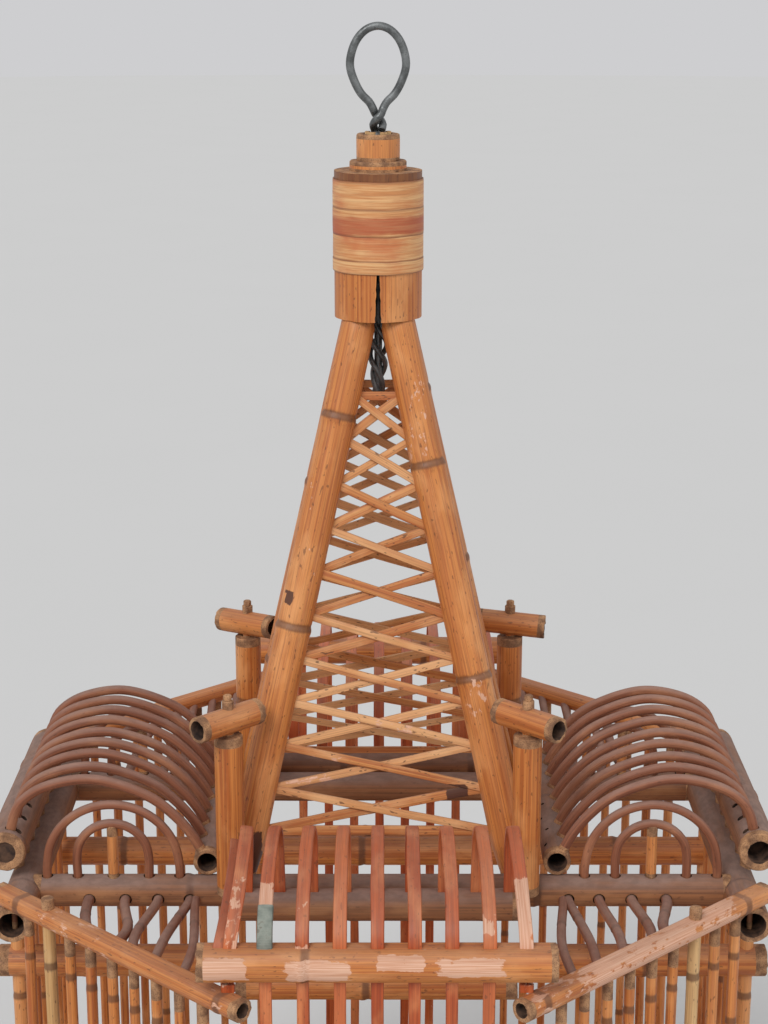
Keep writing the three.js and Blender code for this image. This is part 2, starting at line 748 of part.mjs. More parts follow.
function addShoulders() {
  for (const { name, sx, sy } of corners) {
    const start = shoulderPoint(0, sx, sy);
    const end = shoulderPoint(1, sx, sy);
    const along = end.clone().sub(start).normalize();
    const bores = [[start, along], [end, along.clone().negate()]].map(([mouth, inwards]) => rod(
      mouth.clone().addScaledVector(inwards, -overcut),
      mouth.clone().addScaledVector(inwards, shoulderBoreDepth),
      shoulderBore,
      boreSides,
    ));
    const sockets = [];
    for (let i = 0; i < shoulderRodCount; i += 1) sockets.push(shoulderRod(sx, sy, i, clearance));
    const twigs = twigRows[sideOf(sx)].map(
      (row) => bentRod(twigPoints(row, sx, sy), twigRadius, twigSteps, bentSides),
    );
    const whole = cut(join([shoulderShape(sx, sy), ...twigs]), [...bores, ...sockets]);
    addPiece(`shoulder_${name}`, whole, 'honey', start);
  }
}

// Body walls

// A wall rod under a shoulder bar, grown by the clearance where it cuts its socket
function shoulderRod(sx, sy, index, grow = 0) {
  const share = THREE.MathUtils.lerp(
    shoulderRodFirst,
    shoulderRodLast,
    index / (shoulderRodCount - 1),
  );
  const at = shoulderPoint(share, sx, sy);
  const top = shoulderHeight(sy) - shoulderRadius + socketDepth;
  return rodZ(sillHeight, top + grow, at.x, at.y, rodRadius + grow);
}

const sideRod = (sx, index, grow = 0) => rodZ(
  sillHeight,
  eaveSocketTop + grow,
  sx * wallReach,
  sideRodY(index),
  rodRadius + grow,
);

const cornerPost = (sx, sy, grow = 0) => rodZ(
  sillHeight,
  cornerPostTop + grow,
  sx * wallReach,
  sy * tieBarOffset,
  cornerPostRadius + grow,
  boreSides,
);

// A rail of an end wall, grown by the clearance where the slanted walls' rails butt against it
const endRail = (sy, height, radius, grow = 0) => rodX(
  -hoodBarHalfLength,
  hoodBarHalfLength,
  sy * hoodReach,
  height,
  radius + grow,
);

// A rail of a slanted wall, under the shoulder bar from the side wall to a share of the bar's length
function slantedRail(sx, sy, height, radius, share) {
  const start = shoulderPoint(0, sx, sy).setZ(height);
  const stop = shoulderPoint(share, sx, sy).setZ(height);
  start.x = sx * wallReach;
  return rod(start, stop, radius);
}

// Share of the shoulder bar where it crosses the end wall
const endWallShare = (hoodReach - shoulderStart.y) / (shoulderEnd.y - shoulderStart.y);

function addSideWalls() {
  for (const [side, sx] of sides) {
    const parts = [[sillHeight, sillRadius], [midRailHeight, midRailRadius]].map(
      ([z, radius]) => rodY(-sideTubeHalfLength, sideTubeHalfLength, sx * wallReach, z, radius),
    );
    for (let i = 0; i < sideRodCount; i += 1) parts.push(sideRod(sx, i));
    for (const [, sy] of ends) {
      const midShare = sy < 0 ? shoulderRodLast + midRailOverrun : endWallShare;
      parts.push(cornerPost(sx, sy));
      parts.push(slantedRail(sx, sy, sillHeight, sillRadius, endWallShare));
      parts.push(slantedRail(sx, sy, midRailHeight, midRailRadius, midShare));
      for (let i = 0; i < shoulderRodCount; i += 1) parts.push(shoulderRod(sx, sy, i));
    }
    const whole = cut(join(parts), [
      endRail(-1, sillHeight, sillRadius, clearance),
      endRail(1, sillHeight, sillRadius, clearance),
      endRail(1, rearRailHeight, midRailRadius, clearance),
    ]);
    addPiece(`side_wall_${side}`, whole, 'honey', vec(sx * wallReach, 0, sillHeight));
  }
}

// The slat that the door's edge runs on, and the ones between that stop at the lintel
const middleSlat = (slatCount - 1) / 2;
const isDoorSlat = (index) => Math.abs(index - middleSlat) < doorHalfSlats;
const doorRodXs = [-1.5, -0.5, 0.5, 1.5].map((step) => slatShift + step * slatPitch);
const lintelHalfLength = (middleSlat - 1) * slatPitch + slatWidth;

function addEndWalls() {
  for (const [end, sy] of ends) {
    const hasDoor = sy < 0;
    const parts = [endRail(sy, sillHeight, sillRadius)];
    if (!hasDoor) parts.push(endRail(sy, rearRailHeight, midRailRadius));
    for (let i = 1; i < slatCount - 1; i += 1) {
      parts.push(slat(i, sy, hasDoor && isDoorSlat(i) ? lintelHeight : sillHeight));
    }
    parts.push(rodX(
      slatShift - lintelHalfLength,
      slatShift + lintelHalfLength,
      sy * hoodReach,
      lintelHeight,
      lintelRadius,
    ));
    const holes = hasDoor
      ? doorRodXs.map((x) => rodZ(
        lintelHeight - lintelRadius - overcut,
        lintelHeight + lintelRadius + overcut,
        x,
        sy * hoodReach,
        doorRodRadius + slidingGap,
      ))
      : [];
    addPiece(`${end}_wall`, cut(join(parts), holes), 'slat', vec(slatShift, sy * hoodReach, sillHeight));
  }
}

function addTieBars() {
  for (const [end, sy] of ends) {
    const tip = (side) => vec(
      side * tieBarHalfLength,
      sy * tieBarOffset,
      tieBarHeight(sy, side * tieBarHalfLength),
    );
    const holes = sides.map(([, sx]) => cornerPost(sx, sy, clearance));
    const bar = cut(rod(tip(-1), tip(1), tieBarRadius[end], caneSides), holes);
    addPiece(`tie_bar_${end}`, bar, 'honey', vec(0, sy * tieBarOffset, tieBarHeight(sy)));

    const slots = [];
    if (sy > 0) {
      for (let i = 0; i < slatCount; i += 1) slots.push(slat(i, sy, slatFoot(i, sy), clearance));
    }
    const middle = vec(towerShift, sy * shortTieOffset(sy), shortTieHeight(sy));
    const short = cut(rodX(
      middle.x - shortTieHalfLength,
      middle.x + shortTieHalfLength,
      middle.y,
      middle.z,
      shortTieRadius,
      caneSides,
    ), slots);
    addPiece(`short_tie_bar_${end}`, short, 'honey', middle);
  }
}

// Tower

// A point on a leg's axis, at a height above the leg's foot
function legPoint({ name, sx, sy }, height) {
  const share = height / towerHeight;
  const bow = 4 * legs[name].bow * Math.max(0, share * (1 - share));
  return vec(
    towerShift + sx * (THREE.MathUtils.lerp(legs[name].foot, legTopOffset, share) - bow),
    sy * THREE.MathUtils.lerp(legFootY, legTopOffset, share),
    legFootHeight + height,
  );
}

const legLow = -6; // the foot reaches down past its centre, to wrap the cross bar
const legHigh = towerHeight + legInCap;

function legShape(corner, grow = 0) {
  const steps = legs[corner.name].bow > 0 ? legSteps : 1;
  const points = [];
  for (let i = 0; i <= steps; i += 1) {
    points.push(legPoint(corner, THREE.MathUtils.lerp(legLow, legHigh, i / steps)));
  }
  return bentRod(points, legRadius + grow, steps, caneSides);
}

// The cap and what stands on it lean to the right, about the middle of the rim
const capTurn = new THREE.Matrix4().makeTranslation(towerShift, 0, capRim)
  .multiply(new THREE.Matrix4().makeRotationY(THREE.MathUtils.degToRad(capLean)))
  .multiply(new THREE.Matrix4().makeTranslation(-towerShift, 0, -capRim));
const leaned = (solid) => solid.transform(capTurn.elements);
const onCapAxis = (height) => vec(towerShift, 0, height).applyMatrix4(capTurn);

// The four legs meet in the cap, each trimmed to its own quarter and to the bore. The rear left one is
// pared where its foot passes the valley tube
function addLegs() {
  const low = capRim - clearance;
  const inCap = turned([
    [0, low - overcut],
    [capBore - clearance, low - overcut],
    [capBore - clearance, capTop],
    [0, capTop],
  ], towerShift, 0, capSides);
  const size = 2 * legs.rear_right.foot; // well past the legs' feet
  const height = towerHeight + 3 * legInCap;
  const belowCap = box(2 * size, 2 * size, height, vec(towerShift, 0, low - height / 2));
  const keep = leaned(join([inCap, belowCap]));
  for (const corner of corners) {
    const { name, sx, sy } = corner;
    const quarter = box(size, size, 2 * height, vec(
      towerShift + sx * (size / 2 + clearance),
      sy * (size / 2 + clearance),
      low,
    ));
    const leg = cut(legShape(corner).intersect(keep).intersect(quarter), [
      crossBarShape(sy, clearance),
      valleyShape(sx, clearance),
      rodZ(capRim - wireTailDrop, capTop, towerShift, 0, wireRadius + wirePlay, boreSides),
    ]);
    addPiece(`leg_${name}`, leg, 'honey', legPoint(corner, 0));
  }
}

// A lacing strip between two points of a face, drawn flat before the face is tilted into place
function laceStrip(from, to) {
  const along = to.clone().sub(from);
  const geometry = new THREE.BoxGeometry(along.length(), laceWidth, laceThickness);
  geometry.rotateZ(along.angle());
  geometry.translate((from.x + to.x) / 2, (from.y + to.y) / 2, 0);
  return toSolid(geometry);
}

// The four faces, each between two legs
const towerFaces = [
  { name: 'front', pair: ['front_left', 'front_right'] },
  { name: 'right', pair: ['front_right', 'rear_right'] },
  { name: 'rear', pair: ['rear_right', 'rear_left'] },
  { name: 'left', pair: ['rear_left', 'front_left'] },
];

function addLacing() {
  for (const { name, pair } of towerFaces) {
    const [first, second] = pair.map((leg) => corners.find((corner) => corner.name === leg));
    const middle = (height) => legPoint(first, height).lerp(legPoint(second, height), 0.5);
    const origin = middle(0);
    const across = legPoint(second, 0).sub(legPoint(first, 0)).normalize();
    const out = across.clone().cross(middle(towerHeight).sub(origin)).normalize();
    const up = out.clone().cross(across);
    const node = (side, level) => {
      const height = laceFirst + level * lacePitch;
      const near = legPoint(side < 0 ? first : second, height);
      const far = legPoint(side < 0 ? second : first, height);
      const inwards = far.sub(near).normalize();
      const end = near.addScaledVector(inwards, legRadius - laceTuck).sub(origin);
      return new THREE.Vector2(end.dot(across), end.dot(up));
    };
    const strips = [
      laceStrip(node(-1, 0), node(1, 0)),
      laceStrip(node(-1, laceLevels - 1), node(1, laceLevels - 1)),
    ];
    for (let level = 0; level < laceLevels - 1; level += 1) {
      strips.push(laceStrip(node(-1, level + 1), node(1, level)));
      strips.push(laceStrip(node(1, level + 1), node(-1, level)));
    }
    const tilt = new THREE.Matrix4().makeBasis(across, up, out);
    tilt.setPosition(origin);
    const whole = cut(
      join(strips).transform(tilt.elements),
      [legShape(first, clearance), legShape(second, clearance)],
    );
    addPiece(`lacing_${name}`, whole, 'lace', origin);
  }
}

// Posts and crossheads

// A point on a post's axis: 0 at its foot, 1 at its top
function postAt({ name, sx, sy }, share) {
  const { aside, lean, top } = posts[name];
  return vec(
    towerShift + sx * (legs[name].foot + aside + share * lean),
    sy * postY,
    crownHeight + THREE.MathUtils.lerp(postFoot, top, share),
  );
}

function postShape(corner, grow = 0) {
  const foot = postAt(corner, 0);
  const top = postAt(corner, 1);
  const deeper = foot.clone().addScaledVector(foot.clone().sub(top).normalize(), grow);
  return rod(deeper, top, posts[corner.name].radius + grow, caneSides);
}

function addPosts() {
  for (const corner of corners) {
    const { name, sx, sy } = corner;
    const { pegLean, pegTop } = posts[name];
    const top = postAt(corner, 1);
    const tip = vec(top.x + sx * pegLean, top.y, crownHeight + pegTop);
    const pegAlong = tip.clone().sub(top).normalize();
    const root = top.clone().addScaledVector(pegAlong, -pegRoot);
    const peg = (grow) => rod(root, tip, pegRadius + grow, boreSides);
    const post = join([
      cut(postShape(corner), [
        crossBarShape(sy, clearance),
        restBarShape(sy, clearance),
        legShape(corner, clearance),
      ]),
      peg(0),
    ]);
    addPiece(`post_${name}`, post, 'honey', postAt(corner, 0));

    const { radius, length, lift, heading, slide, tip: dipAngle } = crossheads[name];
    const turn = THREE.MathUtils.degToRad(heading);
    const dip = THREE.MathUtils.degToRad(dipAngle);
    const along = vec(
      Math.cos(turn) * Math.cos(dip),
      Math.sin(turn) * Math.cos(dip),
      -Math.sin(dip),
    );
    const onPeg = (crownHeight + lift - top.z) / pegAlong.z;
    const centre = top.clone().addScaledVector(pegAlong, onPeg).addScaledVector(along, slide);
    const reach = (distance) => centre.clone().addScaledVector(along, distance);
    const half = length / 2;
    const head = cut(rod(reach(-half), reach(half), radius, caneSides), [
      rod(reach(-half - overcut), reach(half + overcut), radius - crossheadWall, railSides),
      peg(clearance),
    ]);
    addPiece(`crosshead_${name}`, head, 'honey', centre);
  }
}

// Cap, collars and hanging ring

const twistLow = capTop + middleCollarHeight + topCollarHeight + 2 * clearance + twistGap;

// The wire: tail in the neck, twist above the collar, round the ring and down the other strand
function ringPoints() {
  const twistHigh = twistLow + twistHeight;
  const { x: twistX } = onCapAxis(twistLow);
  const points = [
    vec(towerShift, 0, capRim - wireTailDrop),
    vec(towerShift, 0, capRim),
    onCapAxis(capTop),
    onCapAxis(twistLow - twistRun),
  ];
  const strand = (share, start) => {
    const angle = start + share * twistTurn;
    const height = twistLow + share * twistHeight;
    return vec(twistX + twistRadius * Math.cos(angle), twistRadius * Math.sin(angle), height);
  };
  for (let i = 0; i <= twistSteps; i += 1) points.push(strand(i / twistSteps, -twistTurn));
  const centreHeight = (ringTopHeight + twistHigh) / 2 + 1;
  const halfHeight = ringTopHeight - centreHeight;
  for (let i = 1; i < loopSteps; i += 1) {
    const angle = -Math.PI / 2 + (i / loopSteps) * 2 * Math.PI;
    const narrowing = 1 - ringNarrowing * Math.max(0, -Math.sin(angle));
    points.push(vec(
      twistX + ringShift + ringHalfWidth * Math.cos(angle) * narrowing,
      0,
      centreHeight + halfHeight * Math.sin(angle),
    ));
  }
  for (let i = twistSteps; i >= 0; i -= 1) points.push(strand(i / twistSteps, Math.PI - twistTurn));
  return points;
}

// A turning round the cap's leaning axis, from a profile of [radius, height] points
const onCap = (profile, facets = collarSides) => leaned(turned(profile, towerShift, 0, facets));

function addCap() {
  const wireHole = wireRadius + clearance;
  addPiece('cap_tube', onCap([
    [capBore, capRim],
    [capRadius, capRim],
    [capRadius, capTop],
    [wireHole, capTop],
    [wireHole, capTop - capTopThickness],
    [capBore, capTop - capTopThickness],
  ], capSides), 'honey', onCapAxis(capRim));

  const wrapInner = capRadius + clearance;
  addPiece('cap_wrap', onCap([
    [wrapInner, capRim + wrapStart],
    [wrapInner + wrapThickness, capRim + wrapStart],
    [wrapInner + wrapThickness, capTop - wrapEnd],
    [wrapInner, capTop - wrapEnd],
  ], capSides), 'veneer', onCapAxis(capRim));

  const middleLow = capTop + clearance;
  addPiece('collar_middle', onCap([
    [wireHole, middleLow],
    [middleCollarRadius, middleLow],
    [middleCollarRadius, middleLow + middleCollarHeight],
    [wireHole, middleLow + middleCollarHeight],
  ]), 'honey', onCapAxis(capTop));

  const topLow = middleLow + middleCollarHeight + clearance;
  const topHigh = topLow + topCollarHeight;
  addPiece('collar_top', onCap([
    [topCollarBore, topLow],
    [topCollarRadius, topLow],
    [topCollarRadius, topHigh],
    [topCollarBore, topHigh],
  ]), 'honey', onCapAxis(topLow));

  // The split plug that jams the wire in the top collar
  const plugRadius = topCollarBore - clearance;
  const plugLow = topLow + clearance;
  const plugHigh = topHigh + plugProud;
  const plug = rodZ(plugLow, plugHigh, towerShift, 0, plugRadius, boreSides);
  const pocketRadius = twistRadius + wireRadius + 2 * clearance;
  const pocketLow = topHigh - plugPocket;
  addPiece('ring_plug', leaned(cut(plug, [
    rodZ(plugLow - overcut, pocketLow + overcut, towerShift, 0, wireHole + clearance, boreSides),
    rodZ(pocketLow, plugHigh + overcut, towerShift, 0, pocketRadius, boreSides),
  ])), 'board', onCapAxis(topLow));

  const ring = bentRod(ringPoints(), wireRadius, ringSteps, wireSides);
  addPiece('hanging_ring', ring, 'wire', onCapAxis(topHigh));
}

// Door, tray, runners and perch

const doorBottom = sillHeight + sillRadius + slidingGap;

function addDoor() {
  const y = -hoodReach;
  const halfLength = doorHalfSlats * slatPitch + slatNarrow / 2 + slidingGap + doorBarEnd;
  const barHeights = [doorBottom + doorBarHeight / 2, doorMidRailHeight];
  const bars = barHeights.map(
    (z) => box(2 * halfLength, doorBarDepth, doorBarHeight, vec(slatShift, y, z)),
  );
  const rods = doorRodXs.map((x) => rodZ(
    doorBottom + doorBarHeight / 2,
    lintelHeight + lintelRadius + doorRodShow,
    x,
    y,
    doorRodRadius,
  ));
  const slots = [-doorHalfSlats, doorHalfSlats].map((step) => box(
    slatNarrow + 2 * slidingGap,
    slatThickness + 2 * slidingGap,
    lintelHeight,
    vec(slatShift + step * slatPitch, y, lintelHeight / 2),
  ));
  addPiece('door', cut(join([...bars, ...rods]), slots), 'honey', vec(slatShift, y, doorBottom));
}

function addRunners() {
  for (const [end, sy] of ends) {
    const y = sy * tieBarOffset;
    const parts = [rodX(-wallReach, wallReach, y, runnerHeight, runnerRadius, boreSides)];
    for (const [, sx] of sides) {
      parts.push(rodZ(0, sillHeight, sx * wallReach, y, footRadius, caneSides));
    }
    const sills = sides.map(([, sx]) => rodY(
      -sideTubeHalfLength,
      sideTubeHalfLength,
      sx * wallReach,
      sillHeight,
      sillRadius + clearance,
    ));
    const above = sides.map(([, sx]) => box(
      2 * (footRadius + overcut),
      2 * (footRadius + overcut),
      sillRadius,
      vec(sx * wallReach, y, sillHeight + sillRadius / 2),
    ));
    addPiece(`runner_${end}`, cut(join(parts), [...sills, ...above]), 'honey', vec(0, y, 0));
  }
}

function addTray() {
  const low = runnerHeight + runnerRadius + clearance;
  const halfWidth = wallReach - trayInset;
  const halfLength = hoodReach - trayEndInset;
  const cornerY = sideTubeHalfLength - trayCornerBack;
  const cornerX = hoodBarHalfLength - trayCornerIn;
  const outline = (inset) => {
    const w = halfWidth - inset;
    const l = halfLength - inset;
    const cy = cornerY - inset / 2;
    const cx = cornerX - inset / 2;
    return [[w, -cy], [w, cy], [cx, l], [-cx, l], [-w, cy], [-w, -cy], [-cx, -l], [cx, -l]]
      .map(([x, y]) => new THREE.Vector2(x, y));
  };
  const slab = (inset, bottom, height) => {
    const geometry = new THREE.ExtrudeGeometry(new THREE.Shape(outline(inset)), {
      depth: height,
      steps: 1,
      bevelEnabled: false,
    });
    geometry.translate(0, 0, bottom);
    return toSolid(geometry);
  };
  const body = cut(slab(0, low, trayHeight), [slab(trayRim, low + trayFloor, trayHeight)]);
  const pull = rodY(
    -halfLength - trayPullLength,
    overcut - halfLength,
    0,
    low + trayHeight / 2,
    trayPullRadius,
    boreSides,
  );
  addPiece('tray', join([body, pull]), 'board', vec(0, 0, low));
}

function addPerch() {
  const y = sideRodY(sideRodCount / 2);
  const length = wallReach + perchEnd;
  const bar = rodX(-length, length, y, perchHeight, perchRadius, boreSides);
  const forks = sides.map(([, sx]) => box(
    2 * perchEnd + 2 * rodRadius,
    2 * (rodRadius + clearance),
    2 * (perchRadius + overcut),
    vec(sx * (wallReach + perchEnd), y, perchHeight),
  ));
  addPiece('perch', cut(bar, forks), 'honey', vec(0, y, perchHeight));
}

addCap();
addLegs();
addLacing();
addPosts();
addCrossBars();
addRestBars();
addArches();
addSideTubes();
addEaveTubes();
addVaults();
addShoulders();
addHoods();
addTieBars();
addEndWalls();
addSideWalls();
addDoor();
addRunners();
addTray();
addPerch();

export default cage;
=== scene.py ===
import math
import random

import bpy
from mathutils import Matrix, Vector, noise


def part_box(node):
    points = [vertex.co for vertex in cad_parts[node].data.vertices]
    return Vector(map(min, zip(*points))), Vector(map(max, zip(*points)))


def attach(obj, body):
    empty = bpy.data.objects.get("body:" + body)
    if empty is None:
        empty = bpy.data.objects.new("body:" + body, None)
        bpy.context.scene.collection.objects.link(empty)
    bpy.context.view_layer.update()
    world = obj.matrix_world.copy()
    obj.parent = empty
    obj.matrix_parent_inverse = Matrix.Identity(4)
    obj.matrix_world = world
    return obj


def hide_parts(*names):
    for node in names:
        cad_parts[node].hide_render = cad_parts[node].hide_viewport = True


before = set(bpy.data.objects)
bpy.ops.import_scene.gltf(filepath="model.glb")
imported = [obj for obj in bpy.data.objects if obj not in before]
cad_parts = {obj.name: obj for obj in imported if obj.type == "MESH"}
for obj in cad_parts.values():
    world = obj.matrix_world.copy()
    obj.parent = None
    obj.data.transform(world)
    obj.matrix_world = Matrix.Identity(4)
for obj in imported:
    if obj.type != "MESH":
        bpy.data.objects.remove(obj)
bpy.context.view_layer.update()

mm = 0.001
ends = [("front", -1), ("rear", 1)]
hands = [("left", -1), ("right", 1)]
corners = [(f"{end}_{hand}", sx, sy) for end, sy in ends for hand, sx in hands]


# Places taken from the frame

def middle(node):
    low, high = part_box(node)
    return (low + high) / 2


def railLine(node):  # the two ends of a straight rail's axis
    low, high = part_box(node)
    size = high - low
    along = 0 if size.x > size.y else 1
    half = Vector()
    half[along] = size[along] / 2
    return middle(node) - half, middle(node) + half


crown = middle("cross_bar_front").z
crossY = middle("cross_bar_rear").y
sideX = middle("side_tube_right").x
eaveX = middle("eave_tube_right").x
eaveZ = middle("eave_tube_right").z
restY = middle("hood_rest_bar_rear").y
tieY = middle("tie_bar_rear").y
tieZ = middle("tie_bar_rear").z
towerX = middle("cap_tube").x
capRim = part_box("cap_tube")[0].z
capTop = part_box("cap_tube")[1].z
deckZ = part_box("side_wall_right")[0].z  # underside of the sills

wall = {"reach": 203.7 * mm, "rod": 2.9 * mm, "post": 4 * mm, "sill": 9 * mm, "rods": 8, "slantRods": 9,
        "slantFirst": 0.135, "slantLast": 0.85, "endInset": 15.4 * mm}
sillZ = deckZ + wall["sill"]


# The camera stands at the photograph's place, close in front of the cage and a little above its shoulders

view = {"place": (0.001, -1.133, 0.866), "pitch": 74.8, "lens": 72.84}


def addCamera():
    data = bpy.data.cameras.new("camera")
    data.lens = view["lens"]
    data.sensor_width = 36
    data.clip_start = 0.05
    data.clip_end = 100
    camera = bpy.data.objects.new("camera", data)
    camera.location = view["place"]
    camera.rotation_euler = (math.radians(view["pitch"]), 0, 0)
    bpy.context.scene.collection.objects.link(camera)
    bpy.context.scene.camera = camera


addCamera()
print("camera placed")


# Node materials

def screen(red, green, blue):  # a colour as it is seen on a screen, 0 to 255, in Blender's own values
    def linear(value):
        share = value / 255
        return share / 12.92 if share <= 0.04045 else ((share + 0.055) / 1.055) ** 2.4
    return (linear(red), linear(green), linear(blue), 1)


class Nodes:  # short ways to add and join nodes in one material
    def __init__(self, name):
        self.material = bpy.data.materials.new(name)
        self.material.use_nodes = True
        self.tree = self.material.node_tree
        self.tree.nodes.clear()

    def add(self, kind, inputs=(), **settings):
        made = self.tree.nodes.new("ShaderNode" + kind)
        for key, value in settings.items():
            setattr(made, key, value)
        for key, value in dict(inputs).items():
            if isinstance(value, bpy.types.NodeSocket):
                self.tree.links.new(value, made.inputs[key])
            else:
                made.inputs[key].default_value = value
        return made

    def math(self, operation, first, second=0.0, third=0.0, clamp=False):
        return self.add("Math", {0: first, 1: second, 2: third}, operation=operation, use_clamp=clamp).outputs[0]

    def ramp(self, value, low, high, toLow=0.0, toHigh=1.0):  # a smooth step from low to high
        made = self.add("MapRange", {"Value": value, "From Min": low, "From Max": high, "To Min": toLow,
                                     "To Max": toHigh}, interpolation_type="SMOOTHSTEP")
        return made.outputs["Result"]

    def mix(self, share, first, second, how="MIX"):
        made = self.add("Mix", data_type="RGBA", blend_type=how)
        for socket, value in (("Factor_Float", share), ("A_Color", first), ("B_Color", second)):
            target = next(s for s in made.inputs if s.identifier == socket)
            if isinstance(value, bpy.types.NodeSocket):
                self.tree.links.new(value, target)
            else:
                target.default_value = value
        return next(s for s in made.outputs if s.identifier == "Result_Color")

    def stretch(self, vector, scale):
        return self.add("VectorMath", {0: vector, 1: scale}, operation="MULTIPLY").outputs[0]

    def noise(self, vector, scale, detail=3.0, rough=0.55):
        made = self.add("TexNoise", {"Vector": self.stretch(vector, scale), "Scale": 1.0, "Detail": detail,
                                     "Roughness": rough})
        return made.outputs["Fac"]

    def attribute(self, name):
        return self.add("Attribute", attribute_name=name)

    def finish(self, colour, rough, height, bump, depth, **fixed):
        normal = self.add("Bump", {"Height": height, "Strength": bump, "Distance": depth}).outputs[0]
        shader = self.add("BsdfPrincipled", {"Base Color": colour, "Roughness": rough, "Normal": normal})
        for key, value in fixed.items():
            shader.inputs[key.replace("_", " ")].default_value = value
        output = self.add("OutputMaterial")
        self.tree.links.new(shader.outputs[0], output.inputs[0])
        return self.material


# Cane finishes. deep, mid and pale are the rind's colours, dusty is what settles on its upper side
cane = {
    "honey": {"deep": (172, 92, 40), "mid": (206, 128, 62), "pale": (228, 160, 100), "dusty": (140, 104, 84),
              "dust": 0.45, "rough": 0.40, "speck": 0.55},
    "dustyCane": {"deep": (118, 74, 46), "mid": (152, 98, 60), "pale": (176, 122, 80), "dusty": (128, 104, 94),
                  "dust": 1.0, "rough": 0.66, "speck": 0.4},
    "reed": {"deep": (118, 66, 44), "mid": (150, 92, 64), "pale": (186, 128, 92), "dusty": (134, 108, 98),
             "dust": 0.75, "rough": 0.58, "speck": 0.35},
    "slatCane": {"deep": (160, 66, 28), "mid": (192, 90, 42), "pale": (222, 140, 88), "dusty": (150, 112, 92),
                 "dust": 0.35, "rough": 0.42, "speck": 0.45},
    "laceCane": {"deep": (176, 100, 50), "mid": (206, 138, 78), "pale": (232, 180, 128), "dusty": (142, 112, 92),
                 "dust": 0.4, "rough": 0.52, "speck": 0.7},
    "paleCane": {"deep": (184, 138, 86), "mid": (208, 164, 108), "pale": (228, 192, 142), "dusty": (160, 134, 108),
                 "dust": 0.35, "rough": 0.5, "speck": 0.6},
}
marks = {"scuff": (232, 190, 164), "sootAndShade": (58, 24, 20), "ring": (92, 56, 34), "speck": (70, 40, 26)}


def caneFinish(name):
    look = cane[name]
    n = Nodes(name)
    grain = n.attribute("grain").outputs["Vector"]
    paint = n.attribute("look")
    split = n.add("SeparateColor", {0: paint.outputs["Color"]})
    tone, scuff, sootAndShade = split.outputs[0], split.outputs[1], split.outputs[2]
    ring = paint.outputs["Alpha"]
    streak = n.noise(grain, (7, 620, 620), 5, 0.6)
    fibre = n.noise(grain, (30, 2600, 2600), 2)
    blotch = n.noise(grain, (24, 62, 62), 4)
    flake = n.noise(grain, (130, 240, 240), 4, 0.62)
    speck = n.noise(grain, (260, 620, 620), 1)
    colour = n.mix(n.ramp(streak, 0.36, 0.62), screen(*look["deep"]), screen(*look["mid"]))
    colour = n.mix(n.math("MULTIPLY", n.ramp(blotch, 0.46, 0.72), 0.75), colour, screen(*look["pale"]))
    colour = n.mix(n.math("MULTIPLY", n.ramp(tone, 0.55, 0.0), 0.75), colour, screen(*look["deep"]))
    colour = n.mix(n.math("MULTIPLY", n.ramp(tone, 0.5, 1.0), 0.7), colour, screen(*look["pale"]))
    colour = n.mix(n.math("MULTIPLY", n.ramp(fibre, 0.52, 0.34), 0.32), colour, screen(*marks["ring"]))
    colour = n.mix(n.math("MULTIPLY", n.ramp(speck, 0.66, 0.74), look["speck"]), colour, screen(*marks["speck"]))
    colour = n.mix(n.math("MULTIPLY", n.ramp(n.math("MULTIPLY_ADD", flake, 0.5, ring), 0.45, 1.0), 0.75), colour,
                   screen(*marks["ring"]))
    # dark patches: soot, and painted shadow where a patch stands for shade
    sootAndShadeMask = n.ramp(n.math("MULTIPLY_ADD", flake, 0.5, sootAndShade), 0.7, 0.78)
    colour = n.mix(n.math("MULTIPLY", sootAndShadeMask, 0.9), colour, screen(*marks["sootAndShade"]))
    scuffMask = n.ramp(n.math("MULTIPLY_ADD", flake, 0.9, n.math("MULTIPLY", scuff, 0.62)), 0.80, 0.86)
    worn = n.mix(n.ramp(fibre, 0.35, 0.65), screen(206, 150, 120), screen(*marks["scuff"]))
    colour = n.mix(n.math("MULTIPLY", scuffMask, 0.88), colour, worn)
    up = n.add("SeparateXYZ", {0: n.add("NewGeometry").outputs["Normal"]}).outputs[2]
    settled = n.math("MULTIPLY", n.ramp(up, 0.15, 0.85), n.ramp(blotch, 0.25, 0.6, 0.45, 1.0))
    settled = n.math("MULTIPLY", settled, look["dust"])
    dustTone = n.mix(n.ramp(flake, 0.35, 0.65), screen(*look["dusty"]), screen(*[v * 1.12 for v in look["dusty"]]))
    colour = n.mix(settled, colour, dustTone)
    rough = n.math("MULTIPLY_ADD", settled, 0.35, n.ramp(streak, 0.3, 0.7, look["rough"], look["rough"] + 0.12))
    rough = n.math("MULTIPLY_ADD", scuffMask, 0.2, rough, clamp=True)
    height = n.math("MULTIPLY_ADD", fibre, 0.35, n.math("MULTIPLY", streak, 0.8))
    height = n.math("SUBTRACT", height, n.math("MULTIPLY", scuffMask, 0.35))
    return n.finish(colour, rough, height, 0.5, 0.0004)


def cutFinish():  # sawn ends of cane, pale with the dark dots of its fibre bundles
    n = Nodes("cutCane")
    grain = n.attribute("grain").outputs["Vector"]
    place = n.add("TexCoord").outputs["Object"]
    dots = n.add("TexVoronoi", {"Vector": place, "Scale": 1400.0}).outputs["Distance"]
    patch = n.noise(place, (160, 160, 160), 3)
    colour = n.mix(n.ramp(patch, 0.35, 0.65), screen(128, 92, 66), screen(184, 138, 98))
    colour = n.mix(n.math("MULTIPLY", n.ramp(dots, 0.42, 0.18), 0.6), colour, screen(78, 50, 34))
    rough = n.ramp(n.noise(grain, (200, 200, 200)), 0.3, 0.7, 0.72, 0.9)
    return n.finish(colour, rough, n.math("ADD", dots, patch), 0.5, 0.0005)


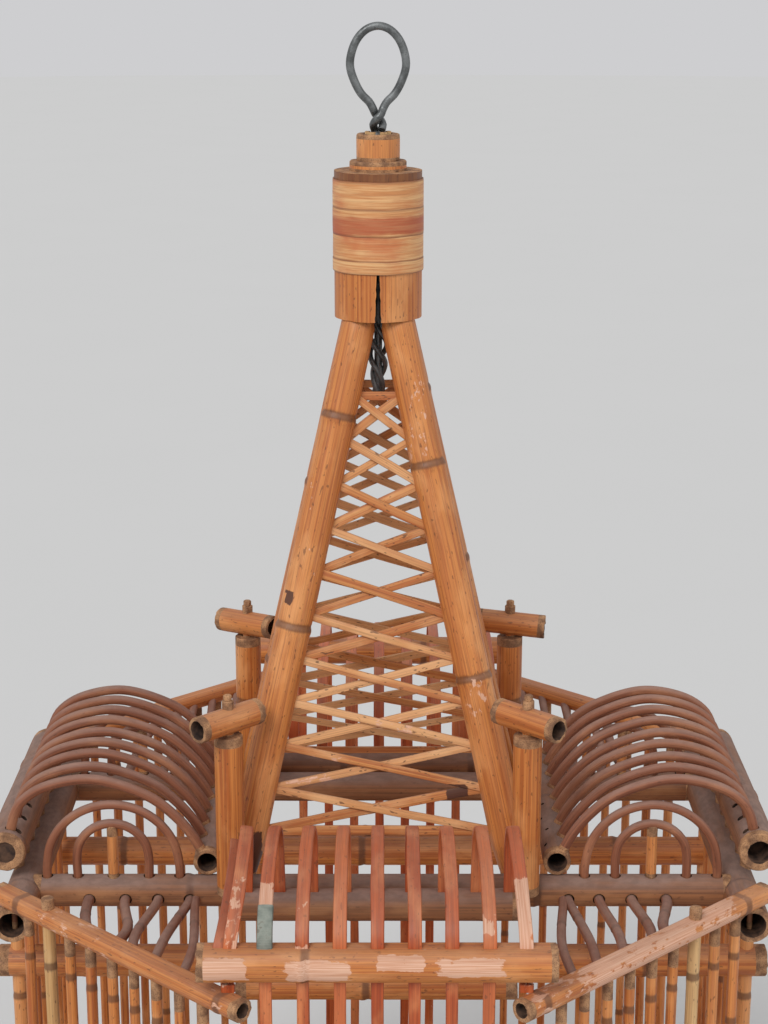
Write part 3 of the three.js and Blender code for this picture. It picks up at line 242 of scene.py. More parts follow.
def shadedBoreFinish():  # insides of tubes and drilled holes: some dust, and painted shade that darkens them to near black
    n = Nodes("bore")
    place = n.add("TexCoord").outputs["Object"]
    patch = n.noise(place, (240, 240, 240), 4)
    # painted shade: the inside walls are coloured dark brown to near black, where shade falls
    colour = n.mix(n.ramp(patch, 0.3, 0.7), screen(38, 24, 18), screen(92, 66, 50))
    return n.finish(colour, n.ramp(patch, 0.3, 0.7, 0.8, 0.95), patch, 0.4, 0.0005)


veneerLook = {"straw": (226, 178, 124), "tan": (204, 138, 84), "red": (172, 78, 44), "redHeight": 62 * mm,
              "redHalf": 4.5 * mm, "line": (112, 58, 34)}


def veneerFinish():
    n = Nodes("veneer")
    place = n.add("TexCoord").outputs["Object"]
    grain = n.attribute("grain").outputs["Vector"]
    figure = n.noise(grain, (760, 26, 26), 5, 0.62)
    patch = n.noise(grain, (46, 24, 24), 4)
    fine = n.noise(grain, (2600, 60, 60), 2)
    colour = n.mix(n.ramp(figure, 0.36, 0.64), screen(*veneerLook["tan"]), screen(*veneerLook["straw"]))
    colour = n.mix(n.math("MULTIPLY", n.ramp(patch, 0.52, 0.74), 0.7), colour, screen(196, 104, 60))
    height = n.math("SUBTRACT", n.add("SeparateXYZ", {0: place}).outputs[2], capRim)
    wobble = n.math("MULTIPLY", n.math("SUBTRACT", patch, 0.5), 9 * mm)
    away = n.math("ABSOLUTE", n.math("SUBTRACT", n.math("ADD", height, wobble), veneerLook["redHeight"] - 10 * mm))
    band = n.ramp(away, veneerLook["redHalf"] * 1.35, veneerLook["redHalf"] * 0.75)
    colour = n.mix(n.math("MULTIPLY", band, n.ramp(figure, 0.2, 0.7, 1.0, 0.7)), colour, screen(*veneerLook["red"]))
    colour = n.mix(n.math("MULTIPLY", n.ramp(fine, 0.5, 0.3), 0.4), colour, screen(150, 92, 56))
    ring = n.attribute("look").outputs["Alpha"]
    colour = n.mix(n.math("MULTIPLY", ring, 0.8), colour, screen(*veneerLook["line"]))
    rough = n.ramp(figure, 0.3, 0.7, 0.42, 0.6)
    return n.finish(colour, rough, n.math("MULTIPLY_ADD", fine, 0.4, figure), 0.5, 0.0004)


def wireFinish():
    n = Nodes("greyWire")
    place = n.add("TexCoord").outputs["Object"]
    patch = n.noise(place, (150, 150, 150), 4)
    pit = n.noise(place, (900, 900, 900), 2)
    colour = n.mix(n.ramp(patch, 0.3, 0.7), screen(88, 90, 90), screen(134, 137, 137))
    colour = n.mix(n.math("MULTIPLY", n.ramp(pit, 0.6, 0.72), 0.6), colour, screen(58, 56, 54))
    rough = n.ramp(patch, 0.3, 0.7, 0.36, 0.58)
    return n.finish(colour, rough, pit, 0.35, 0.0003, Metallic=0.75)


def tapeFinish():
    n = Nodes("tape")
    place = n.add("TexCoord").outputs["Object"]
    patch = n.noise(place, (130, 130, 130), 4)
    weave = n.add("TexWave", {"Vector": n.stretch(place, (1, 1, 1)), "Scale": 420.0, "Distortion": 2.0},
                  bands_direction="Z").outputs["Fac"]
    colour = n.mix(n.ramp(patch, 0.3, 0.7), screen(92, 100, 92), screen(142, 146, 136))
    colour = n.mix(n.math("MULTIPLY", n.ramp(patch, 0.62, 0.7), 0.5), colour, screen(84, 62, 46))
    return n.finish(colour, n.ramp(patch, 0.3, 0.7, 0.6, 0.85), n.math("ADD", weave, patch), 0.35, 0.0003)


def boardFinish():
    n = Nodes("board")
    place = n.add("TexCoord").outputs["Object"]
    bend = n.noise(place, (3, 14, 3), 3)
    rings = n.add("TexWave", {"Vector": n.stretch(place, (6, 70, 20)), "Scale": 1.0, "Distortion": 6.0,
                              "Detail": 3.0, "Detail Scale": 0.8}, bands_direction="Y").outputs["Fac"]
    fine = n.noise(place, (40, 900, 900), 3)
    colour = n.mix(rings, screen(186, 142, 94), screen(150, 104, 64))
    colour = n.mix(n.math("MULTIPLY", n.ramp(bend, 0.4, 0.7), 0.5), colour, screen(202, 164, 118))
    colour = n.mix(n.math("MULTIPLY", n.ramp(fine, 0.5, 0.32), 0.4), colour, screen(108, 72, 44))
    return n.finish(colour, n.ramp(fine, 0.3, 0.7, 0.55, 0.72), n.math("MULTIPLY_ADD", fine, 0.5, rings), 0.3, 0.0004)


finishes = {name: caneFinish(name) for name in cane}
finishes |= {"cut": cutFinish(), "bore": shadedBoreFinish(), "veneer": veneerFinish(), "wire": wireFinish(),
             "tape": tapeFinish(), "board": boardFinish()}
print("materials made:", len(finishes))


# Mesh code

class Shape:  # one piece's points and faces while it is being made
    def __init__(self):
        self.points, self.faces, self.paint = [], [], []
        self.grain, self.look = [], []

    def point(self, place, grain, look=(0.5, 0, 0, 0)):
        self.points.append(place)
        self.grain.append(grain)
        self.look.append(look)
        return len(self.points) - 1

    def face(self, corners, paint):
        self.faces.append(corners)
        self.paint.append(paint)


def smoothPath(points, perSpan=8):  # a centripetal curve through the points
    points = [Vector(p) for p in points]
    wide = [2 * points[0] - points[1], *points, 2 * points[-1] - points[-2]]
    made = []
    for i in range(1, len(wide) - 2):
        a, b, c, d = wide[i - 1:i + 3]
        t1 = math.sqrt((b - a).length)
        t2 = t1 + math.sqrt((c - b).length)
        t3 = t2 + math.sqrt((d - c).length)
        for k in range(perSpan):
            t = t1 + (t2 - t1) * k / perSpan
            ab = a.lerp(b, t / t1)
            bc = b.lerp(c, (t - t1) / (t2 - t1))
            cd = c.lerp(d, (t - t2) / (t3 - t2))
            made.append(ab.lerp(bc, t / t2).lerp(bc.lerp(cd, (t - t1) / (t3 - t1)), (t - t1) / (t2 - t1)))
    return [*made, points[-1]]


class Track:  # a path with its length and a steady frame at each distance along it
    def __init__(self, path, up=(0, 0, 1)):
        self.path = [Vector(p) for p in path]
        self.marks = [0.0]
        for a, b in zip(self.path, self.path[1:]):
            self.marks.append(self.marks[-1] + (b - a).length)
        self.length = self.marks[-1]
        self.tops = []
        top = Vector(up)
        for i in range(len(self.path)):
            ahead = self.path[min(i + 1, len(self.path) - 1)] - self.path[max(i - 1, 0)]
            along = ahead.normalized()
            top = top - along * top.dot(along)
            if top.length < 1e-6:
                top = along.orthogonal()
            top.normalize()
            self.tops.append((along, top.copy()))

    def at(self, distance):
        distance = min(max(distance, 0.0), self.length)
        i = 0
        while i < len(self.marks) - 2 and self.marks[i + 1] < distance:
            i += 1
        span = self.marks[i + 1] - self.marks[i]
        share = (distance - self.marks[i]) / span if span else 0
        place = self.path[i].lerp(self.path[i + 1], share)
        along = self.tops[i][0].lerp(self.tops[i + 1][0], share).normalized()
        top = self.tops[i][1].lerp(self.tops[i + 1][1], share)
        top = (top - along * top.dot(along)).normalized()
        return place, along, top, along.cross(top)


knot = {"swell": 0.05, "width": 2.2 * mm, "groove": 0.035, "grooveAt": 3.2 * mm, "grooveWidth": 1.1 * mm}


def knotSwell(distance, knots):  # how much a joint in the cane swells the rod, and how dark its ring is
    swell, dark = 1.0, 0.0
    for at in knots:
        off = distance - at
        swell += knot["swell"] * math.exp(-(off / knot["width"]) ** 2)
        swell -= knot["groove"] * math.exp(-((off - knot["grooveAt"]) / knot["grooveWidth"]) ** 2)
        dark = max(dark, math.exp(-((off - knot["grooveAt"] * 0.6) / (knot["width"] * 1.1)) ** 2))
    return swell, dark


def addCane(shape, path, radius, up=(0, 0, 1), sides=14, step=6 * mm, knots=(), bores=(None, None), seed=0,
            tone=0.5, paint=0, flat=None, bow=0.0, ragged=0.2 * mm, edge=0.35 * mm, marksAt=None, rough=0.012):
    track = Track(path, up)
    total = track.length
    size = radius if callable(radius) else (lambda distance: radius)
    rows = []  # distance, radius, paint: 0 rind, 1 sawn, 2 bore
    for side, hole in enumerate(bores):
        tip = 0.0 if side == 0 else total
        inward = 1 if side == 0 else -1
        r = size(tip)
        if hole:
            bore, depth = hole
            part = [(tip + inward * depth, 0.0, 2), (tip + inward * depth, bore, 2),
                    (tip + inward * depth * 0.5, bore * 1.01, 2), (tip + inward * edge, bore, 2),
                    (tip, bore + edge * 0.7, 1), (tip, r - edge, 1), (tip + inward * edge, r, 1)]
        else:
            part = [(tip, 0.0, 1), (tip, r * 0.5, 1), (tip, r - edge, 1), (tip + inward * edge, r, 1)]
        if side == 0:
            rows += part
            count = max(2, round(total / step))
            inside = {edge + (total - 2 * edge) * k / count for k in range(1, count)}
            for at in knots:
                inside |= {at + off * mm for off in (-6, -3.5, -2, -1, 0, 1, 2, 2.8, 3.6, 4.6, 6.5)}
            rows += [(d, None, 0) for d in sorted(inside) if edge * 2 < d < total - edge * 2]
        else:
            rows += part[::-1]
    dice = random.Random(seed)
    drift = [dice.uniform(-1, 1) for _ in range(4)]
    first = []
    for row, (distance, ringRadius, kind) in enumerate(rows):
        place, along, top, side = track.at(distance)
        share = distance / total
        if bow:
            lean = math.sin(math.pi * share)
            place = place + (top * drift[0] + side * drift[1]) * bow * lean
            place = place + (top * drift[2] + side * drift[3]) * bow * 0.5 * math.sin(2 * math.pi * share)
        swell, dark = knotSwell(distance, knots)
        if ringRadius is None:
            ringRadius = size(distance) * swell
            ringRadius *= 1 + rough * noise.noise(Vector((distance * 30, seed * 1.7, 0)))
        count = 1 if ringRadius == 0 else sides
        first.append(len(shape.points))
        for k in range(count):
            angle = 2 * math.pi * (k + 0.5) / sides
            r = ringRadius
            if flat and kind < 2 and r:
                rise = math.cos(angle)
                if rise > 0:
                    r = min(r, flat * size(distance) / rise)
            if kind == 0:
                r *= 1 + rough * noise.noise(Vector((math.cos(angle) * 1.3, math.sin(angle) * 1.3, distance * 22 + seed)))
            off = top * (r * math.cos(angle)) + side * (r * math.sin(angle))
            if ragged and kind == 1 and r:
                off = off + along * ragged * noise.noise(Vector((math.cos(angle) * 3, math.sin(angle) * 3, seed + share * 9)))
            spot = place + off
            extra = marksAt(spot, off, distance) if marksAt else (0, 0)
            grain = (distance + seed * 0.731, off.dot(top) + seed * 0.113, off.dot(side))
            shape.point(spot, grain, (tone, extra[0], extra[1], dark))
    for row in range(len(rows) - 1):
        kind = max(rows[row][2], rows[row + 1][2])
        a, b = first[row], first[row + 1]
        oneA, oneB = rows[row][1] == 0, rows[row + 1][1] == 0
        for k in range(sides):
            j = (k + 1) % sides
            if oneA:
                corners = (a, b + j, b + k)
            elif oneB:
                corners = (a + k, a + j, b)
            else:
                corners = (a + k, a + j, b + j, b + k)
            shape.face(corners, paint if kind == 0 else paint + kind)


def addStrip(shape, path, width, thickness, up, seed=0, tone=0.5, paint=0, crown=0.25 * mm, step=4 * mm,
             wander=0.25 * mm, marksAt=None, edgeScuff=0.25):
    # a split strip with rounded edges. Its upper side is the rind
    track = Track(path, up)
    breadth = width if callable(width) else (lambda distance: width)
    count = max(2, round(track.length / step))
    first = len(shape.points)
    profile = [(-0.5, -0.32), (-0.46, -0.5), (0.46, -0.5), (0.5, -0.32), (0.5, 0.25), (0.44, 0.48), (0.22, 0.5),
               (0, 0.5), (-0.22, 0.5), (-0.44, 0.48), (-0.5, 0.25)]
    for row in range(count + 1):
        distance = track.length * row / count
        place, along, top, side = track.at(distance)
        shift = wander * noise.noise(Vector((distance * 26, seed * 3.1, 0)))
        wide = breadth(distance) * (1 + 0.05 * noise.noise(Vector((distance * 40, seed * 5.3, 2))))
        for x, z in profile:
            lift = crown * (1 - (2 * x) ** 2) if z > 0.45 else 0
            off = side * (x * wide + shift) + top * (z * thickness + lift)
            spot = place + off
            extra = marksAt(spot, off, distance) if marksAt else (0, 0)
            edge = edgeScuff if abs(x) > 0.4 else 0
            grain = (distance + seed * 0.519, off.dot(side) + seed * 0.217, off.dot(top))
            shape.point(spot, grain, (tone, max(extra[0], edge), extra[1], 0))
    ring = len(profile)
    for row in range(count):
        for k in range(ring):
            j = (k + 1) % ring
            a, b = first + row * ring, first + (row + 1) * ring
            shape.face((a + j, a + k, b + k, b + j), paint)
    shape.face(tuple(first + k for k in range(ring)), paint + 1)
    last = first + count * ring
    shape.face(tuple(last + k for k in reversed(range(ring))), paint + 1)


def rodsAsCutter(name, rods, finish):
    # one mesh of plain rods for drilling: each is start, end, radius
    shape = Shape()
    for start, end, radius in rods:
        addCane(shape, [start, end], radius, sides=16, step=1, ragged=0, edge=0.05 * mm, rough=0)
    shape.paint = [0] * len(shape.paint)
    return meshObject(name, shape, [finish])


def meshObject(name, shape, paints):
    data = bpy.data.meshes.new(name)
    data.from_pydata(shape.points, [], shape.faces)
    for paint in paints:
        data.materials.append(finishes[paint])
    data.polygons.foreach_set("material_index", shape.paint)
    grain = data.attributes.new("grain", "FLOAT_VECTOR", "POINT")
    grain.data.foreach_set("vector", [v for g in shape.grain for v in g])
    look = data.attributes.new("look", "FLOAT_COLOR", "POINT")
    look.data.foreach_set("color", [v for g in shape.look for v in g])
    data.shade_smooth()
    data.set_sharp_from_angle(angle=math.radians(42))
    made = bpy.data.objects.new(name, data)
    bpy.context.scene.collection.objects.link(made)
    return made


def drill(piece, cutter):  # cuts the cutter's shape out of the piece and deletes the cutter
    modifier = piece.modifiers.new("drill", "BOOLEAN")
    modifier.operation = "DIFFERENCE"
    modifier.object = cutter
    modifier.solver = "EXACT"
    modifier.material_mode = "TRANSFER"
    graph = bpy.context.evaluated_depsgraph_get()
    cutData = bpy.data.meshes.new_from_object(piece.evaluated_get(graph))
    piece.modifiers.clear()
    old = piece.data
    piece.data = cutData
    bpy.data.meshes.remove(old)
    bpy.data.objects.remove(cutter)
    cutData.shade_smooth()
    cutData.set_sharp_from_angle(angle=math.radians(42))


def regrain(piece, start, end, seed=0, tone=0.5, knots=(), marksAt=None, up=(0, 0, 1)):
    # gives a drilled straight rail its grain again, from where its points lie
    track = Track([start, end], up)
    place, along, top, side = track.at(0)
    data = piece.data
    grain, look = [], []
    for vertex in data.vertices:
        off = vertex.co - place
        distance = off.dot(along)
        off = off - along * distance
        extra = marksAt(vertex.co, off, distance) if marksAt else (0, 0)
        grain += [distance + seed * 0.731, off.dot(top) + seed * 0.113, off.dot(side)]
        look += [tone, extra[0], extra[1], knotSwell(distance, knots)[1]]
    for name, kind in (("grain", "FLOAT_VECTOR"), ("look", "FLOAT_COLOR")):
        if name in data.attributes:
            data.attributes.remove(data.attributes[name])
        data.attributes.new(name, kind, "POINT")
    data.attributes["grain"].data.foreach_set("vector", grain)
    data.attributes["look"].data.foreach_set("color", look)


def keep(piece, body, slot, *nodes):  # the piece rides on its body and stands for its CAD nodes
    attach(piece, body)
    if nodes:
        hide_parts(*nodes)
    return piece


# each cane's paints: rind, sawn ends, and the bore finish, whose near-black colour is painted shade
canePaints = {name: [name, "cut", "bore"] for name in cane}


def patches(*spots):
    # marks on a piece: each spot is centre, half sizes, scuff, and darkness; the darkness is soot, and at the front
    # left leg's foot painted shadow
    def marksAt(point, off, distance):
        scuff, sootAndShade = 0.0, 0.0
        for centre, half, pale, dark in spots:
            far = max(abs(point[k] - centre[k]) / half[k] for k in range(3) if half[k])
            near = max(0.0, min(1.0, (1.25 - far) / 0.5))
            scuff, sootAndShade = max(scuff, pale * near), max(sootAndShade, dark * near)
        return scuff, sootAndShade
    return marksAt


# Cross bars, with the holes for the arches and the shoulder twigs

arch = {"radius": 2.5 * mm, "rod": 3 * mm, "reach": 149.3 * mm, "seat": 4 * mm,
        "spans": (("outer", 73.5 * mm, 51 * mm), ("inner", 39.5 * mm, 40 * mm))}
bar = {"radius": 8.9 * mm, "play": 0.7 * mm}
twig = {"radius": 2.8 * mm, "seat": 4 * mm, "sag": 2 * mm, "play": 0.7 * mm}
# each twig: its hole's distance from the middle, the share of the shoulder bar that it reaches, its bow
twigRows = {
    -1: [(162, 0.43, 3), (142, 0.49, -5), (124, 0.57, 4), (106.5, 0.65, 3), (103, 0.76, -3)],
    1: [(157, 0.42, -3), (138, 0.5, 5), (120, 0.6, 4), (103, 0.70, 3), (100, 0.79, -4)],
}
slant = {"radius": 6.1 * mm, "bore": 3.6 * mm, "depth": 18 * mm, "z": crown + 16.4 * mm, "from": (206.5 * mm, 110.4 * mm),
         "to": (66.6 * mm, 240.3 * mm)}


def slantPoint(share, sx, sy):
    a, b = slant["from"], slant["to"]
    return Vector((sx * (a[0] + (b[0] - a[0]) * share), sy * (a[1] + (b[1] - a[1]) * share), slant["z"]))


def twigPath(row, sx, sy):
    hole, share, bowed = row
    inner = Vector((sx * hole * mm, sy * (crossY + bar["radius"] - twig["seat"]), crown - twig["sag"]))
    outside = inner + Vector((0, sy * 7 * mm, 0.5 * mm))
    far = slantPoint(share, sx, sy) - Vector((0, 0, 1.5 * mm))
    half = outside.lerp(far, 0.5) + Vector((sx * bowed * mm, 0, -twig["sag"]))
    return smoothPath([inner, outside, half, far], 8)


def addCrossBars():
    for end, sy in ends:
        start, stop = railLine(f"cross_bar_{end}")
        shape = Shape()
        knots = [0.086, 0.278] if sy < 0 else [0.12, 0.31]
        seed = 3 if sy < 0 else 4
        addCane(shape, [start, stop], bar["radius"], sides=36, step=5 * mm, knots=knots, seed=seed, tone=0.5)
        piece = meshObject(f"cross_bar_{end}_cane", shape, canePaints["dustyCane"])
        top = crown + bar["radius"]
        holes = []
        for _, sx in hands:
            for _, span, _ in arch["spans"]:
                for way in (-1, 1):
                    x = sx * arch["reach"] + way * span / 2
                    holes.append((Vector((x, sy * crossY, top - 5 * mm)), Vector((x, sy * crossY, top + 2 * mm)),
                                  arch["radius"] + bar["play"]))
            x = sx * arch["reach"]
            holes.append((Vector((x, sy * crossY, top - 5 * mm)), Vector((x, sy * crossY, top + 2 * mm)),
                          arch["rod"] + bar["play"] * 0.6))
            for row in twigRows[sx][:4]:
                path = twigPath(row, sx, sy)
                ahead = (path[8] - path[0]).normalized()
                holes.append((path[0] - ahead * 0.4 * mm, path[0] + ahead * 9 * mm, twig["radius"] + twig["play"]))
        # the holes' walls take the bore finish: painted shade
        drill(piece, rodsAsCutter("cutter", holes, "bore"))
        tubes = [(Vector((sx * sideX, sy * crossY - 20 * mm, crown)), Vector((sx * sideX, sy * crossY + 20 * mm, crown)),
                  10.2 * mm) for _, sx in hands]
        drill(piece, rodsAsCutter("cutter", tubes, "cut"))
        regrain(piece, start, stop, seed, 0.5, knots)
        keep(piece, "cage", "dusty_cane", f"cross_bar_{end}")


def addArches():
    for name, sx, sy in corners:
        for kind, span, rise in arch["spans"]:
            foot = crown + bar["radius"] - arch["seat"]
            springing = crown + rise - span / 2
            points = [Vector((sx * arch["reach"] + span / 2, sy * crossY, foot))]
            for i in range(9):
                angle = i / 8 * math.pi
                points.append(Vector((sx * arch["reach"] + span / 2 * math.cos(angle), sy * crossY,
                                      springing + span / 2 * math.sin(angle))))
            points.append(Vector((sx * arch["reach"] - span / 2, sy * crossY, foot)))
            shape = Shape()
            seed = 20 + len(name) + sx + 3 * sy + (5 if kind == "inner" else 0)
            addCane(shape, smoothPath(points, 6), arch["radius"], up=(0, 1, 0), sides=14, step=3 * mm, seed=seed,
                    tone=0.5 + 0.08 * sx, bow=0.35 * mm)
            if kind == "inner":
                at = Vector((sx * arch["reach"], sy * crossY, foot))
                addCane(shape, [at, at + Vector((0, 0, rise - bar["radius"] + arch["seat"] - 1 * mm))], arch["rod"],
                        up=(0, 1, 0), seed=seed + 1, tone=0.75, paint=3)
            piece = meshObject(f"arch_{kind}_{name}_reed", shape, canePaints["reed"] + canePaints["honey"])
            keep(piece, "cage", "rib_cane", f"arch_{kind}_{name}")


addCrossBars()
addArches()
print("cross bars and arches made")


# Side tubes, eave tubes and the two vaults

tube = {"radius": 10 * mm, "bore": 6.9 * mm, "depth": 30 * mm, "pin": 1.6 * mm, "pinBack": 11 * mm}
eave = {"radius": 11.1 * mm, "bore": 6.3 * mm, "depth": 14 * mm}
valley = {"radius": 7.7 * mm, "bore": 5.3 * mm, "reach": 97.1 * mm, "half": 74.4 * mm, "z": crown + 16.9 * mm,
          "emptyHole": 1.2 * mm, "emptyTurn": 62}
rib = {"radius": 2.8 * mm, "count": 9, "pitch": 17.8 * mm, "rise": 65.5 * mm, "seat": 4 * mm, "inset": 1.6 * mm}


def ribPath(sx, y):
    eaveTop = eaveZ + eave["radius"]
    top = crown + rib["rise"]
    span = eaveX - valley["reach"]
    outer = eaveX - rib["inset"]

    def at(share, height):
        return Vector((sx * (outer - share * span), y, height))
    rise = top - eaveTop
    points = [at(0, eaveTop - rib["seat"]), at(0.03, eaveTop + 0.28 * rise), at(0.07, eaveTop + 0.54 * rise),
              at(0.18, eaveTop + 0.83 * rise), at(0.42, top), at(0.7, top - 0.35 * rise), at(0.83, top - 0.76 * rise),
              at(0.91, valley["z"] + 2 * valley["radius"]),
              Vector((sx * (valley["reach"] + 0.38 * valley["radius"]), y, valley["z"] + 0.68 * valley["radius"]))]
    return smoothPath(points, 8)


def ribY(index):
    return (index - (rib["count"] - 1) / 2) * rib["pitch"]


def addSideTubes():
    for hand, sx in hands:
        start, stop = railLine(f"side_tube_{hand}")
        shape = Shape()
        seed = 7 + sx
        knots = [0.035, 0.198]
        hole = (tube["bore"], tube["depth"])
        addCane(shape, [start, stop], tube["radius"], sides=32, step=6 * mm, knots=knots, bores=(hole, hole), seed=seed,
                tone=0.45, ragged=0.8 * mm)
        for end, sy in ends:  # the pin that holds the shoulder bar, seen inside the open end
            at = Vector((sx * sideX, sy * (stop.y - tube["pinBack"]), crown))
            addCane(shape, [at - Vector((0, 0, 8.8 * mm)), at + Vector((0, 0, 8.8 * mm))], tube["pin"], up=(0, 1, 0),
                    sides=10, seed=seed + 3, tone=0.6, paint=3)
        piece = meshObject(f"side_tube_{hand}_cane", shape, canePaints["dustyCane"] + canePaints["reed"])
        keep(piece, "cage", "dusty_cane", f"side_tube_{hand}")


def addEaveTubes():
    for hand, sx in hands:
        start, stop = railLine(f"eave_tube_{hand}")
        shape = Shape()
        seed = 11 + sx
        knots = [0.004, 0.118] if sx < 0 else [0.07]
        # the left tube's front end is closed by the joint in the cane, and the others are open
        openEnd = (eave["bore"], eave["depth"])
        bores = ((eave["bore"] * 0.9, 0.9 * mm) if sx < 0 else openEnd, openEnd)
        addCane(shape, [start, stop], eave["radius"], sides=36, step=5 * mm, knots=knots, bores=bores, seed=seed,
                tone=0.42, ragged=1.0 * mm, edge=0.6 * mm)
        piece = meshObject(f"eave_tube_{hand}_cane", shape, canePaints["dustyCane"])
        holes, spare = [], []
        for i in range(rib["count"]):
            path = ribPath(sx, ribY(i))
            ahead = (path[8] - path[0]).normalized()
            holes.append((path[0] - ahead * 0.4 * mm, path[0] + ahead * 8 * mm, rib["radius"] + 0.6 * mm))
            turn = math.radians(38)
            out = Vector((-sx * math.sin(turn), 0, math.cos(turn)))
            at = Vector((sx * eaveX, ribY(i), eaveZ)) + out * eave["radius"]
            spare.append((at - out * 4 * mm, at + out * 2 * mm, 1.9 * mm))
        drill(piece, rodsAsCutter("cutter", holes, "bore"))
        drill(piece, rodsAsCutter("cutter", spare, "bore"))
        regrain(piece, start, stop, seed, 0.42, knots)
        keep(piece, "cage", "dusty_cane", f"eave_tube_{hand}")


def addVaults():
    for hand, sx in hands:
        shape = Shape()
        seed = 15 + sx
        start = Vector((sx * valley["reach"], -valley["half"], valley["z"]))
        stop = Vector((sx * valley["reach"], valley["half"], valley["z"]))
        hole = (valley["bore"], 32 * mm)
        addCane(shape, [start, stop], valley["radius"], sides=32, step=5 * mm, knots=[0.075], bores=(hole, hole),
                seed=seed, tone=0.4, ragged=0.7 * mm)
        piece = meshObject(f"valley_tube_{hand}_cane", shape, canePaints["dustyCane"])
        holes = []
        for i in range(rib["count"] + 1):
            turn = math.radians(valley["emptyTurn"] - 20 * (i % 2))
            out = Vector((-sx * math.cos(turn), 0, math.sin(turn)))
            at = Vector((sx * valley["reach"], ribY(i) - rib["pitch"] / 2, valley["z"])) + out * valley["radius"]
            if abs(at.y) < valley["half"] - 3 * mm:
                holes.append((at - out * 2.1 * mm, at + out * 2 * mm, valley["emptyHole"]))
        drill(piece, rodsAsCutter("cutter", holes, "bore"))
        regrain(piece, start, stop, seed, 0.4, [0.075])
        keep(piece, "cage", "rib_cane", f"vault_{hand}")
        ribs = Shape()
        dice = random.Random(40 + sx)
        for i in range(rib["count"]):
            addCane(ribs, ribPath(sx, ribY(i)), rib["radius"], up=(0, 1, 0), sides=14, step=3.2 * mm, seed=50 + i * 2 + sx,
                    tone=dice.uniform(0.3, 0.75), bow=0.8 * mm)
        keep(meshObject(f"vault_ribs_{hand}", ribs, canePaints["reed"]), "cage", "rib_cane")


addSideTubes()
addEaveTubes()
addVaults()
print("tubes and vaults made")


# Shoulder bars, with their twigs

slantMarks = {
    "front_left": patches(((-155 * mm, -156 * mm, 376 * mm), (26 * mm, 40 * mm, 20 * mm), 0.5, 0),
                          ((-75 * mm, -232 * mm, 376 * mm), (9 * mm, 20 * mm, 20 * mm), 0.45, 0)),
    "front_right": patches(((140 * mm, -172 * mm, 376 * mm), (52 * mm, 52 * mm, 20 * mm), 0.78, 0),
                           ((80 * mm, -228 * mm, 376 * mm), (16 * mm, 20 * mm, 20 * mm), 0.55, 0)),
}


def addShoulders():
    for name, sx, sy in corners:
        start, stop = slantPoint(0, sx, sy), slantPoint(1, sx, sy)
        shape = Shape()
        seed = 60 + sx + 3 * sy
        hole = (slant["bore"], slant["depth"])
        addCane(shape, [start, stop], slant["radius"], sides=32, step=4 * mm, knots=[0.02, 0.176], bores=(hole, hole),
                seed=seed, tone=0.6, flat=0.74, ragged=0.6 * mm, marksAt=slantMarks.get(name))
        piece = meshObject(f"shoulder_{name}_cane", shape, canePaints["honey"])
        keep(piece, "cage", "honey_cane", f"shoulder_{name}")
        twigs = Shape()
        for i, row in enumerate(twigRows[sx]):
            addCane(twigs, twigPath(row, sx, sy), twig["radius"] * (1.05 - 0.04 * i), up=(0, 0, 1), sides=14, step=3 * mm,
                    knots=[0.03 + 0.01 * (i % 3)], seed=70 + i * 3 + sx + sy, tone=0.3 + 0.1 * (i % 3), bow=0.6 * mm)
        keep(meshObject(f"shoulder_{name}_twigs", twigs, canePaints["reed"]), "cage", "rib_cane")


addShoulders()
print("shoulders made")


# Hoods: the bar that the slats pass through, the slats and the short bars at their backs

hood = {"reach": 229.8 * mm, "z": crown + 36.6 * mm, "radius": 9.6 * mm, "half": 86.5 * mm, "rise": 66 * mm,
        "slat": 6.7 * mm, "below": 6.0 * mm, "thick": 2 * mm, "pitch": 18 * mm, "count": 9, "seat": 4 * mm,
        "back": 2.2 * mm, "lean": (4.6 * mm, 1.6 * mm)}
lintel = {"z": 250 * mm, "radius": 6 * mm, "doorHalf": 2}


def slatX(index):
    return towerX + (index - (hood["count"] - 1) / 2) * hood["pitch"]


def slatPath(index, sy, foot, lower=1.0, aside=0.0):
    top = crown + hood["rise"] * lower
    back = restY + hood["back"]
    span = hood["reach"] - back
    lean = {0: hood["lean"][0], hood["count"] - 1: -hood["lean"][1]}.get(index, 0.0)
    x = slatX(index) + aside

    def at(share, height, leaned):
        return Vector((x + lean * leaned, sy * (hood["reach"] - share * span), height))
    rise = top - hood["z"]
    points = [] if foot > hood["z"] - 12 * mm else [at(0, foot, 0), at(0, (foot + hood["z"]) / 2, 0)]
    points += [at(0, max(foot, hood["z"] - 11 * mm), 0), at(0, hood["z"] + 0.3 * rise, 0.3), at(0.035, hood["z"] + 0.6 * rise, 0.6),
               at(0.14, hood["z"] + 0.86 * rise, 0.9), at(0.36, top, 1), at(0.6, hood["z"] + 0.97 * rise, 0.9),
               at(0.8, hood["z"] + 0.72 * rise, 0.6), at(0.94, crown + 0.62 * hood["rise"] * lower, 0.3),
               at(1, crown + bar["radius"] - hood["seat"], 0)]
    return smoothPath(points, 8)


def slatWidth(foot):
    edge = hood["z"] - foot

    def width(distance):
        share = max(0.0, min(1.0, (distance - edge + 12 * mm) / (10 * mm)))
        return hood["below"] + (hood["slat"] - hood["below"]) * share
    return width


